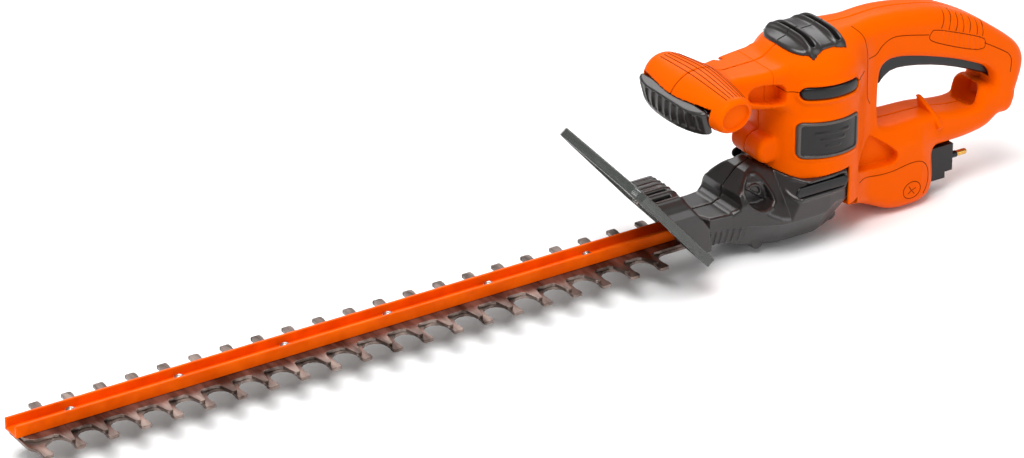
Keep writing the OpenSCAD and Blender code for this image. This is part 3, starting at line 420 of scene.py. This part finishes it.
def shell_outside(x, y, z, right):
    """Everything orange as one blended outside surface. y is not negative."""
    radius = np.hypot(x - MOTOR_X, y)
    wall_field = radius - 37 + 0.9 * step_up(z - 129, 9)
    dome = (z - (139.4 - 0.0068 * radius * radius)) * 0.97
    tower = smax(wall_field, dome, 13)
    tower = smax(tower, 20 - z, 2)
    outline = HANDLE(x, z)
    grip = slab(outline, y, 17, 11)
    hole = OPENING(x, z)
    grip = smax(grip, -hole, 7)
    bulge = smax(BULGE(x, z), BULGE_PLAN(x, y), 11)
    neck = smax(NECK_SIDE(x, z), NECK_PLAN(x, y), 6)
    lx, lz = in_bar(x, z)
    reach = BAR_REACH[right]
    a, b = bar_size(y, right)
    bar = smax(bar_ring(lx, lz, a, b), y - reach, BAR_ROUND[right])
    d = smin(tower, grip, 11)
    d = smax(d, -smax(hole, y - 40, 1), 5)
    d = smin(d, bulge, 8)
    d = smin(d, neck, 5)
    d = smin(d, bar, 4)
    boss = smax(np.hypot(x - 4, z - 69) - 9, y - 16, 4)
    d = smin(d, boss, 3)
    hexagon = smax(HEX(x, z), 15.6 - y, 1)
    d = smax(d, -hexagon, 0.8)
    pocket = smax(NECK_POCKET(x, z), 12.5 - y, 1.5)
    d = smax(d, -pocket, 0.9)
    end = smax(bar_ring(lx, lz, a - 3.2, b - 2.6), reach - 2.6 - y, 0.8)
    return smax(d, -end, 0.6)


def side_pill(x, z, height, half_length, r):
    return pill(x + 31, z - height, half_length, r)


VENT_Z, PLATE_Z = 110.5, 77.5
SCREWS = [(5, 69, -12), (-80, 131, -13.5), (-193, 84, -13.5), (-148, 47, -13.5), (-70, 34, -19.5),
          (-118.5, 12, -18.6)]
NECK_SCREWS = [(15, 106, -15), (24, 125, -13)]


def plate_2d(x, z):
    """The side plate's rounded rectangle."""
    a, b = np.abs(x + 31) - 22 + 4, np.abs(z - PLATE_Z) - 12.6 + 4
    return np.minimum(np.maximum(a, b), 0) + np.hypot(np.maximum(a, 0), np.maximum(b, 0)) - 4


def fine_detail(x, y, z, d):
    """Rims, grooves and small steps laid on the outside surface."""
    on_tower = step_up(y - 14, 4) * step_up(x + 66, 8)
    q = side_pill(x, z, VENT_Z, 20.8, 4.6)
    d = d - 0.9 * bell(q - 1.4, 1.5) * on_tower
    d = d - 0.5 * bell(np.maximum(plate_2d(x, z), 0) - 1.0, 1.3) * on_tower
    # Grooves across the grip's side
    s = (x + 150.5 + 0.10 * (z - 118) + 0.008 * (z - 118) ** 2) / 4.3
    near = np.abs(s - np.round(s)) * 4.3
    line = 112.5 - (x + 122) * -0.49
    mask = step_up(17.6 - np.abs(x + 150.5), 1.2) * step_up(z - line - 4.5, 2.0) * step_up(y - 4, 4)
    d = d + 0.55 * bell(near, 0.75) * mask * step_up(-40 - x, 4)
    # The joint line between the two halves
    return d + 0.5 * bell(y, 0.55)


def openings_in(x, y, z):
    """What is cut out of the orange shell."""
    room = np.maximum(CASE_ROOM(x, z), np.minimum(np.minimum(CASE_PLAN(x, y) - 0.3, -46 - x), z - 25))
    cut = -room
    on_tower = 15 - y
    radius = np.hypot(x - MOTOR_X, y)
    vent = np.maximum(side_pill(x, z, VENT_Z, 21.2, 4.9), np.maximum(on_tower, 35.2 - radius))
    plate = np.maximum(plate_2d(x, z) - 0.3, np.maximum(on_tower, 35.9 - radius))
    channel = np.maximum(TRIGGER(x, z) - 0.9, y - 9.0)
    inlet = brick(x, y, z, (-144.0, 0, 20.0), (15.8, 13.4, 11.3), 0.5)
    along = tunnel_frame(x, y, z)
    tunnel = np.minimum(brick(*along, (0, 0, 0), (30, 10.5, 4.9), 3.0),
                        brick(*along, (11, 0, 0), (11, 12.0, 7.8), 6.0))
    d = np.minimum(np.minimum(vent, plate), np.minimum(channel, inlet))
    d = np.minimum(d, tunnel)
    d = np.minimum(d, np.maximum(np.hypot(z - 117, y) - 7, np.maximum(-8 - x, x - 40)))
    return cut, d


def tunnel_frame(x, y, z):
    a = math.radians(17)
    u, w = x + 181, z - 57.3
    return u * math.cos(a) + w * math.sin(a), y, -u * math.sin(a) + w * math.cos(a)


# The cord hook's fin across the arm, in Y and Z
HOOK = Outline([(-4, 57), (-4, 69.4), (2.5, 69.4), (9, 65), (15, 61), (19.6, 55), (20, 50.6), (16, 50),
                (10, 57)], 1)


def orange(x, y, z, right=False):
    y = np.abs(y)
    d = shell_outside(x, y, z, right)
    inner = d + WALL
    d = fine_detail(x, y, z, d)
    shell = np.maximum(d, -inner)
    tx, ty, tz = tunnel_frame(x, y, z)
    tunnel = brick(tx, ty, tz, (0, 0, 0), (17, 17.0, 9.9), 8.0)
    shell = smin(shell, tunnel, 2)
    if not right:
        fin = slab(HOOK(y, z), x + 127 + (69 - z) * 0.26, 1.7, 0.9)
        shell = smin(shell, fin, 1.5)
    cut, holes = openings_in(x, y, z)
    if right:
        for sx, sz, seat in SCREWS + NECK_SCREWS:
            r = np.hypot(x - sx, z - sz)
            shell = np.minimum(shell, np.maximum(np.maximum(r - 5, d + 0.3), -seat - 4 - y))
            shell = np.maximum(shell, -np.maximum(r - 3.2, -seat - y))
            shell = np.maximum(shell, 1.7 - r)
    shell = smax(shell, -holes, 0.8)
    shell = smax(shell, cut, 0.8)
    return np.maximum(shell, SEAM - y)


# Where the housing ends and the front handle starts
SPLIT_X = 7.0
SPLIT_Z = 88.0


def housing_field(right):
    return lambda x, y, z: np.maximum(orange(x, y, z, right), np.minimum(x - SPLIT_X, z - SPLIT_Z))


def handle_field(right):
    def field(x, y, z):
        lx, lz = in_bar(x, z)
        d = np.maximum(orange(x, y, z, right), SPLIT_X + 0.04 - x)
        d = np.maximum(d, -brick(lx, y, lz, (19, 0, -1.1), (10, 36.8, 8.9), 0.5))
        return np.maximum(d, SPLIT_Z - z)

    return field


# Paths, in X and Z, of the fine lines of painted groove shade on the housing's side
LINES = [
    bent([(-61.5, 139), (-66.5, 134), (-68.1, 128), (-69.5, 110), (-69.8, 90), (-73.7, 83.6)]),
    bent([(-2, 112), (-9.5, 112)]),
    bent([(-52, 112), (-63, 112)]),
    bent([(-70.7, 116.5), (-78, 116), (-82.5, 122), (-88.8, 125.4), (-96.8, 125.8), (-120.6, 120.2)]),
    bent([(-124, 122.6), (-129.4, 121.5), (-148.6, 114.2), (-166.3, 106.9), (-168.5, 103), (-166.8, 98.2),
          (-155.9, 100.9), (-139.0, 107.6), (-122.4, 115.1), (-120.6, 119), (-124, 122.6)]),
    bent([(-167, 103), (-180.3, 95.2), (-191, 88), (-190, 76)]),
    bent([(-60, 33.9), (-66.4, 34.3), (-86, 31.2), (-112, 35), (-121.3, 28), (-122.7, 16), (-118, 8)]),
]
for top_x, top_z, foot_x, foot_z in ((-135.8, 132.4, -130.6, 122.2), (-141.6, 130.4, -136.9, 119.8),
                                     (-146.8, 128.2, -142.7, 117.6), (-152.2, 125.6, -148.6, 115.4),
                                     (-157.6, 122.8, -154.5, 113.0), (-163.3, 119.6, -160.4, 110.4),
                                     (-168.9, 115.8, -165.2, 108.3)):
    LINES.append([(top_x, top_z), (foot_x, foot_z)])
LINES.append([(-107.8 + 7.2 * math.cos(a), 13.6 + 6 * math.sin(a)) for a in np.linspace(0, 2 * math.pi, 40)])
LINES += [[(-105, 17), (-107.5, 13.5), (-111, 14.5)], [(-110, 10.5), (-107.5, 13.5), (-104.5, 11.5)]]


def grooves(field, right):
    """Thin tubes of painted groove shade, laid along the lines on the housing's side."""
    made = []
    for path in LINES:
        p = trace(field, path)
        made.append(tube_along(p + np.array([0, -0.04, 0]), 0.27))
    return made


def bar_grooves(field, right):
    """Thin tubes of painted groove shade along the top of the cross bar."""
    made = []
    reach = BAR_REACH[right]
    y = np.linspace(0.4, reach - BAR_ROUND[right] - 1, 60)
    a, b = bar_size(y, right)
    for k in range(7):
        turn = math.radians(88 + 10.5 * k)
        lx, lz = a * math.cos(turn), b * math.sin(turn)
        c, s = math.cos(BAR_TILT), math.sin(BAR_TILT)
        p = np.stack([BAR_X + lx * c + lz * s, y, BAR_Z - lx * s + lz * c], axis=1)
        made.append(tube_along(p, 0.26, out=(0, 0, 1)))
    return made


def halves(label, field, lo, hi, h, body, look, extra=lambda field, right: [],
           painted_shade_look=GROOVE_PAINTED_SHADE):
    """Left and right halves of a shell that is split along Y = 0."""
    for side, right in (("left", False), ("right", True)):
        f = field(right)
        v, q = surface(f, lo, hi, h * COARSE)
        parts = [(v, q, look)] + [(a, b, painted_shade_look) for a, b in extra(f, right)]
        if right:
            parts = [(*flipped(a, b), m) for a, b, m in parts]
        piece(f"{label}_{side}_shell", parts, body, [f"{label}_{side}"])


halves("housing", housing_field, (-208, -0.6, -2), (15.5, 38.6, 143), 0.8, "trimmer",
       ORANGE, grooves)
halves("front_handle", handle_field, (5, -0.6, 96), (76, 51.5, 138), 0.6, "trimmer", ORANGE,
       bar_grooves)

# ---------------------------------------------------------------- gear case

CASE_SIDE = Outline([(57, 12), (57, 35), (46, 34.6), (35, 34.4), (31, 37), (29.8, 40), (29.8, 45.5),
                     (19, 55.7), (9, 59.4), (6, 57.3), (0, 54.7), (-6, 52), (-12, 49.9), (-21, 50.7),
                     (-31, 52), (-45, 52.7), (-58, 52.7), (-58, 38), (-50, 10), (-45, 4), (-36, 0), (6, 0),
                     (26, 8), (40, 12)])
POCKET = Outline([(25.3, 42), (24.7, 48.4), (18, 54.5), (12, 53.5), (7, 43.1), (7.3, 37), (17.5, 34.6),
                  (23.7, 38.5)], 1)
CASE_SCREWS = [(33, 31.5, -17), (-44, 12, -28), (-50, 31, -26), (14, 7, -26)]
EXHAUST_X, EXHAUST_Z = -24, 44.6


def case_outside(x, y, z):
    plan = CASE_PLAN(x, y)
    d = smax(plan, CASE_SIDE(x, z), 2.5)
    roof = ((y - 9.5) * 17 + (z - 58) * 14) / math.hypot(17, 14)
    d = smax(d, roof - np.maximum(-x - 1, 0) * 1.2, 2)
    # Below the crease the sides lean in towards the flat underside
    lean = 0.3 + 0.35 * step_up(20 - x, 13)
    crease = 24.8 + 5.8 * step_up(-32 - x, 6)
    lower = smax((plan + lean * (crease - z)) / np.sqrt(1 + lean * lean), -z, 9)
    return smax(d, lower, 0.8)


def case_field(right):
    def field(x, y, z):
        y = np.abs(y)
        d = case_outside(x, y, z)
        d = d + 0.9 * step_up(24.2 - z, 0.5) * step_up(x + 30, 4)
        rib = np.abs(x / 4.2 - np.round(x / 4.2)) * 4.2
        d = d - 0.9 * bell(rib, 0.6) * step_up(23.4 - z, 0.6) * step_up(x - 26, 1.5) * step_up(z - 13, 1.5)
        q = pill(x - EXHAUST_X, z - EXHAUST_Z, 20.6, 4.6)
        d = d - 0.9 * bell(q - 1.3, 1.2) * step_up(y - 24, 3)
        d = d + 0.45 * bell(y, 0.55)
        inner = d + WALL
        pocket = POCKET(x, z)
        d = d - 0.8 * bell(pocket - 0.9, 0.9) * step_up(y - 12, 3)
        floor_at = 15.5 + 0.10 * (25 - x)
        d = smax(d, -smax(pocket, floor_at - y, 1.5), 0.8)
        ring = np.abs(np.hypot(x - 17, z - 44) - 5) - 0.7
        moon = np.maximum(np.minimum(ring, np.maximum(np.abs(z - 44 - (x - 17) * 0.7) - 0.7, ring - 4)),
                          np.maximum((44 - z + (x - 17) * 0.7) * 0.8 - 0.7, np.abs(y - floor_at) - 1.6))
        shell = np.maximum(d, -inner)
        shell = np.minimum(shell, np.maximum(np.maximum(pocket - 2, d), floor_at - 2.5 - y))
        shell = np.minimum(shell, np.maximum(moon, pocket))
        for sx, sz, seat in CASE_SCREWS:
            r = np.hypot(x - sx, z - sz)
            shell = smin(shell, smax(r - 4.2, y - (-seat + 1.5 if right else 19), 1), 1.5)
        shell = smax(shell, -np.maximum(pill(x - EXHAUST_X, z - EXHAUST_Z, 20.9, 4.4), 34.3 - y), 0.6)
        shell = np.maximum(shell, -brick(x, y, z, (58, 0, 22), (5, 16, 8.5)))
        shell = np.maximum(shell, -np.maximum(np.hypot(x - MOTOR_X, y) - 34, 37 - z))
        if right:
            for sx, sz, seat in CASE_SCREWS:
                r = np.hypot(x - sx, z - sz)
                shell = np.maximum(shell, -np.maximum(r - 2.9, -seat - y))
                shell = np.maximum(shell, 1.4 - r)
        return np.maximum(shell, SEAM - y)

    return field


halves("gear_case", case_field, (-60, -0.6, -1.2), (59, 38.5, 61.5), 0.6, "trimmer", DARK)

# ---------------------------------------------------------------- vent cap on the tower

CAP_PLAN = Outline([(-9.5, 8), (-12, 17), (-18, 24.5), (-46, 25), (-50, 20), (-50, -20), (-46, -25),
                    (-18, -24.5), (-12, -17), (-9.5, -8)], 2)
RIDGE = Outline([(6, 143), (15, 142.2), (22, 139), (26, 134), (28.5, 130.5), (29, 126), (24, 122), (-24, 122),
                 (-29, 126), (-28.5, 130.5), (-26, 134), (-22, 139), (-15, 142.2), (-6, 143)], 2)
CAP_RIDGES = (-23.5, -43.5)


def cap_field(right):
    def field(x, y, z):
        y = np.abs(y)
        radius = np.hypot(x - MOTOR_X, y)
        dome = (z - (141.4 - 0.0068 * radius * radius)) * 0.97
        d = smax(dome, CAP_PLAN(x, y), 2.5)
        d = smax(d, radius - 38, 3)
        for rx in CAP_RIDGES:
            ridge = slab(RIDGE(y, z), x - rx, 4.4, 2.0) - 0.25 * step_up(y - 22, 6)
            groove = np.maximum(pill(y, x - rx, 22.5, 1.5), -(z - (139.4 - 0.0075 * y * y)))
            rim = np.maximum(pill(y, x - rx, 24, 3.0), -(z - 120))
            ridge = ridge - 0.5 * bell(rim, 0.9) * step_up(z - 130, 3)
            d = smin(d, ridge, 2.2)
            d = smax(d, -groove, 0.7)
        d = np.maximum(d, -(smax(radius - 37.15, (z - (139.6 - 0.0068 * radius * radius)) * 0.97, 13)))
        d = np.maximum(d, 124.5 - z)
        return np.maximum(d, SEAM - y)

    return field


def cap_slits(field, right):
    """Near-black sheets at the bottoms of the two slits, painted shade of their depth."""
    made = []
    for rx in CAP_RIDGES:
        def slit(x, y, z, rx=rx):
            top = 140.8 - 0.0075 * y * y
            return np.maximum(pill(y, x - rx, 22.8, 1.8), np.maximum(z - top, top - 1.5 - z))
        made.append(surface(slit, (rx - 3, 0.3, 130), (rx + 3, 24, 142), 0.5))
    return made


halves("vent_cap", cap_field, (-53, -0.6, 122), (-2, 31, 145), 0.5, "trimmer", DARK,
       cap_slits, SLIT_PAINTED_SHADE)

# ---------------------------------------------------------------- vents and side plates


def both_walls(name, field, lo, hi, h, look, node, picked=None, other=None):
    """The same cover on both walls. Faces whose middle is picked get the other look."""
    v, q = surface(field, lo, hi, h * COARSE)
    parts = [(v, q, look)]
    if picked:
        chosen = picked(v[q].mean(axis=1))
        parts = [(v, q[~chosen], look), (v, q[chosen], other)]
    piece(name, parts + [(*flipped(a, b), m) for a, b, m in parts], "trimmer", [node])


def side_vent_field(x, y, z):
    radius = np.hypot(x - MOTOR_X, y)
    q = side_pill(x, z, VENT_Z, 20.7, 4.4)
    inside = np.maximum(radius - 37.8 + 0.036 * (z - VENT_Z) ** 2, 35.4 - radius)
    return smax(q, np.maximum(inside, 12 - y), 1.6)


def exhaust_field(x, y, z):
    q = pill(x - EXHAUST_X, z - EXHAUST_Z, 20.5, 4.0)
    body = np.maximum(y - 36.9 + 0.05 * (z - EXHAUST_Z) ** 2, 34.6 - y)
    return smax(q, body, 1.5)


def side_plate_field(x, y, z):
    radius = np.hypot(x - MOTOR_X, y)
    q = plate_2d(x, z)
    face = radius - 38.0
    face = face + 0.9 * step_up(-q - 2.0, 0.4)
    bars = 1e3 + 0 * q
    for k, half in enumerate((12.5, 9.0, 5.5)):
        bars = np.minimum(bars, pill(x + 31, z - (PLATE_Z + 4.6 - 4.6 * k), half, 0.95))
    face = face - 0.55 * step_up(-bars, 0.5)
    return smax(q, np.maximum(np.maximum(face, 36.0 - radius), 10 - y), 1.2)


both_walls("side_vent_covers", side_vent_field, (-54, 12, 104), (-8, 39, 117), 0.45, BLACK,
           "side_vents")
both_walls("exhaust_vent_covers", exhaust_field, (-47, 33, 36), (-1, 38.5, 48), 0.45, BLACK,
           "exhaust_vents")
both_walls("label_plates", side_plate_field, (-55, 10, 63), (-7, 40, 92), 0.5, TRIM,
           "side_plates", lambda v: plate_2d(v[:, 0], v[:, 2]) > -1.9, BORDER)

# ---------------------------------------------------------------- front lever

LEVER_PLAN = Outline([(12.4, -36), (16.5, -36.2), (20.5, -30), (23.8, -16), (24.7, 0), (23.8, 16), (20.5, 30),
                      (16.5, 36.2), (12.4, 36)], 1)


def lever_field(x, y, z):
    d = slab(LEVER_PLAN(x, y), z + 1, 8.5, 2.4)
    d = smax(d, x - 25.4 + 0.30 * (z + 6), 1.2)
    face = step_up(5.6 - np.abs(z - 0.6), 0.8) * step_up(32 - np.abs(y), 1.5)
    rib = np.abs(y / 7.4 - np.round(y / 7.4)) * 7.4
    return d + 1.1 * face - 1.3 * bell(rib, 1.7) * face


v, q = surface(lever_field, (11.5, -37, -10.4), (26.5, 37, 8.4), 0.5 * COARSE)
to_bar = Matrix.Translation(Vector((BAR_X, 0, BAR_Z)) * MM) @ Matrix.Rotation(BAR_TILT, 4, "Y")
piece("front_lever_pad", [(v, q, DARK)], "front_lever", ["front_lever"], to_bar)

# ---------------------------------------------------------------- rear trigger


def trigger_field(x, y, z):
    d = slab(TRIGGER(x, z), y, 8.5, 2.2)
    return np.maximum(d, -(np.hypot(x - PIVOT_X, z - PIVOT_Z) - 2.05))


v, q = surface(trigger_field, (-187, -9.3, 69), (-86, 9.3, 122), 0.6 * COARSE)
piece("rear_trigger_blade", [(v, q, BLACK)], "rear_trigger", ["rear_trigger"])

# ---------------------------------------------------------------- guard and its collar

GUARD = Outline([(-49, 5), (49, 5), (52, 9), (51.5, 78), (49, 88), (41, 93), (-41, 93), (-49, 88),
                 (-51.5, 78), (-52, 9)], 1)
GUARD_FOOT = (65, 20)
LEAN, TURN = math.radians(41.6), math.radians(4.6)


def in_front_of_guard(x, y, z):
    """Distance in front of the middle of the guard sheet. Here y keeps its sign."""
    return ((x - GUARD_FOOT[0]) * math.cos(LEAN) - (z - GUARD_FOOT[1]) * math.sin(LEAN)) * math.cos(TURN) - (
        y * math.sin(TURN))


def guard_field(x, y, z):
    q = GUARD(y, z)
    edge = slab(np.maximum(q, -q - 3.0), x, 3.2, 0.9)
    edge = edge + 0.7 * bell(np.abs(q) - 0.9, 0.5) * step_up(1.5 - np.abs(x), 0.8)
    sheet = slab(q + 1.0, x, 1.2, 0.3)
    d = smin(edge, sheet, 0.8)
    d = np.maximum(d, -brick(x, y, z, (0, 0, 5), (5, 9.8, 10)))
    return np.maximum(d, -(np.hypot(np.abs(y) - 22, z - 24) - 1.6))


v, q = surface(guard_field, (-4, -53, 1), (4, 53, 94), 0.5 * COARSE)
to_guard = (Matrix.Translation(Vector((GUARD_FOOT[0], 0, GUARD_FOOT[1])) * MM) @ Matrix.Rotation(LEAN, 4, "Y")
            @ Matrix.Rotation(-TURN, 4, "Z"))
piece("hand_guard", [(v, q, SMOKE)], "trimmer", ["guard"], to_guard)

ARCH = Outline([(-27, 9), (27, 9), (27, 38), (25, 47), (19, 55), (9, 61), (-9, 61), (-19, 55), (-25, 47),
                (-27, 38)], 1)
ARCH_SIDE = Outline([(54, 9), (110, 9), (110, 63), (84, 63), (77, 60), (57, 33)])


def collar_field(x, signed, z):
    y = np.abs(signed)
    front = in_front_of_guard(x, signed, z) + 1.35
    side = ARCH_SIDE(x, z)
    arch = smax(ARCH(y, z), side, 2)
    arch = smax(arch, front, 1)
    rib = np.abs(y / 5.0 - 0.5 - np.round(y / 5.0 - 0.5)) * 5.0
    arch = arch - 0.7 * bell(rib, 0.8) * step_up(z - 50, 2) * step_up(21 - y, 1)
    hollow = np.maximum(np.maximum(ARCH(y, z), side), front) + 2.6
    d = np.maximum(arch, -hollow)
    d = np.maximum(d, -brick(x, y, z, (44, 0, 24.2), (14, 20.2, 12.8)))
    d = np.maximum(d, -brick(x, y, z, (70, 0, 23.5), (20, 20.2, 9.5)))
    for sy in (9.5, 14.5):
        d = np.maximum(d, -brick(x, y, z, (92, sy, 60), (12, 1.0, 12)))
    return d


v, q = surface(collar_field, (52, -28.4, 8), (108, 28.4, 64), 0.6 * COARSE)
piece("guard_collar_shell", [(v, q, DARK)], "trimmer", ["guard_collar"])

# ---------------------------------------------------------------- looks of the CAD nodes that stay

NODE_LOOK = {
    "blade_beam": PAINT, "lower_blade": GROUND, "upper_blade": GROUND, "inlet_block": BLACK,
    "pin_sleeves": BLACK, "inlet_pins": BRASS, "rear_switch": BLACK, "front_switch": BLACK,
    "rear_switch_button": RED,
    "front_switch_button": RED, "suppressor_capacitor": YELLOW, "motor_leads": SHEATH,
    "carbon_brushes": CARBON, "brush_holders": BRASS, "field_coils": COPPER, "armature_windings": COPPER,
    "commutator": COPPER,
    "cooling_fan": WHITE, "bearing_plate": ALLOY, "gear_bush": BRONZE, "drive_end_bush": BRONZE,
    "commutator_end_bush": BRONZE, "stator_core": DULL, "armature_core": DULL, "crank_gear": BRIGHT,
    "pinion": DULL, "upper_eccentric": DULL, "lower_eccentric": DULL, "blade_washers": DULL,
}


def soften(node, width):
    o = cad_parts[node]
    weld = o.modifiers.new("weld", "WELD")
    weld.merge_threshold = 0.00001
    bevel = o.modifiers.new("bevel", "BEVEL")
    bevel.width = width * MM
    bevel.segments = 2
    bevel.limit_method = "ANGLE"
    bevel.angle_limit = math.radians(40)
    bevel.harden_normals = False


for name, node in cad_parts.items():
    node.data.materials.clear()
    node.data.materials.append(NODE_LOOK.get(name, BRIGHT))
for name, width in (("inlet_block", 0.7), ("blade_beam", 0.35), ("upper_blade", 0.3), ("lower_blade", 0.3)):
    soften(name, width)

# ---------------------------------------------------------------- floor, light and camera

floor_mesh = bpy.data.meshes.new("floor")
SIDE = 9.0
floor_mesh.from_pydata([(-SIDE, -SIDE, -0.0015), (SIDE, -SIDE, -0.0015), (SIDE, SIDE, -0.0015),
                        (-SIDE, SIDE, -0.0015)], [], [(0, 1, 2, 3)])
floor = bpy.data.objects.new("floor", floor_mesh)
bpy.context.scene.collection.objects.link(floor)
floor_mesh.materials.append(finish_of("pale_floor", lin(250, 250, 250), 0.9, vary=0.004, patch=2.0, grain=60,
                                      bump=0.0, specular=0.1))


def lamp(name, place, target, size, power, colour=(1, 1, 1)):
    data = bpy.data.lights.new(name, "AREA")
    data.shape = "RECTANGLE"
    data.size, data.size_y = size
    data.energy = power
    data.color = colour
    o = bpy.data.objects.new(name, data)
    o.location = place
    o.rotation_mode = "QUATERNION"
    o.rotation_quaternion = (Vector(target) - Vector(place)).to_track_quat("-Z", "Y")
    bpy.context.scene.collection.objects.link(o)
    return o


AIM = (0.15, 0, 0.05)
lamp("key", (0.9, 0.5, 2.3), AIM, (1.8, 1.8), 78)
lamp("fill", (-1.2, 2.6, 0.9), AIM, (1.6, 1.2), 17)
lamp("rim", (-0.9, -1.6, 1.7), AIM, (2.0, 1.0), 22)

world = bpy.data.worlds.new("studio")
world.use_nodes = True
world.node_tree.nodes["Background"].inputs["Color"].default_value = (1, 1, 1, 1)
world.node_tree.nodes["Background"].inputs["Strength"].default_value = 0.36
bpy.context.scene.world = world

scene = bpy.context.scene
scene.view_settings.view_transform = "Standard"

camera_data = bpy.data.cameras.new("camera")
camera_data.sensor_width = 36
camera_data.lens = 167.5
camera_data.clip_start, camera_data.clip_end = 0.1, 30
camera = bpy.data.objects.new("camera", camera_data)
camera.location = (1.633, 2.222, 1.410)
camera.rotation_mode = "QUATERNION"
camera.rotation_quaternion = Vector((-0.4851, -0.7471, -0.4545)).to_track_quat("-Z", "Y")
scene.collection.objects.link(camera)
scene.camera = camera
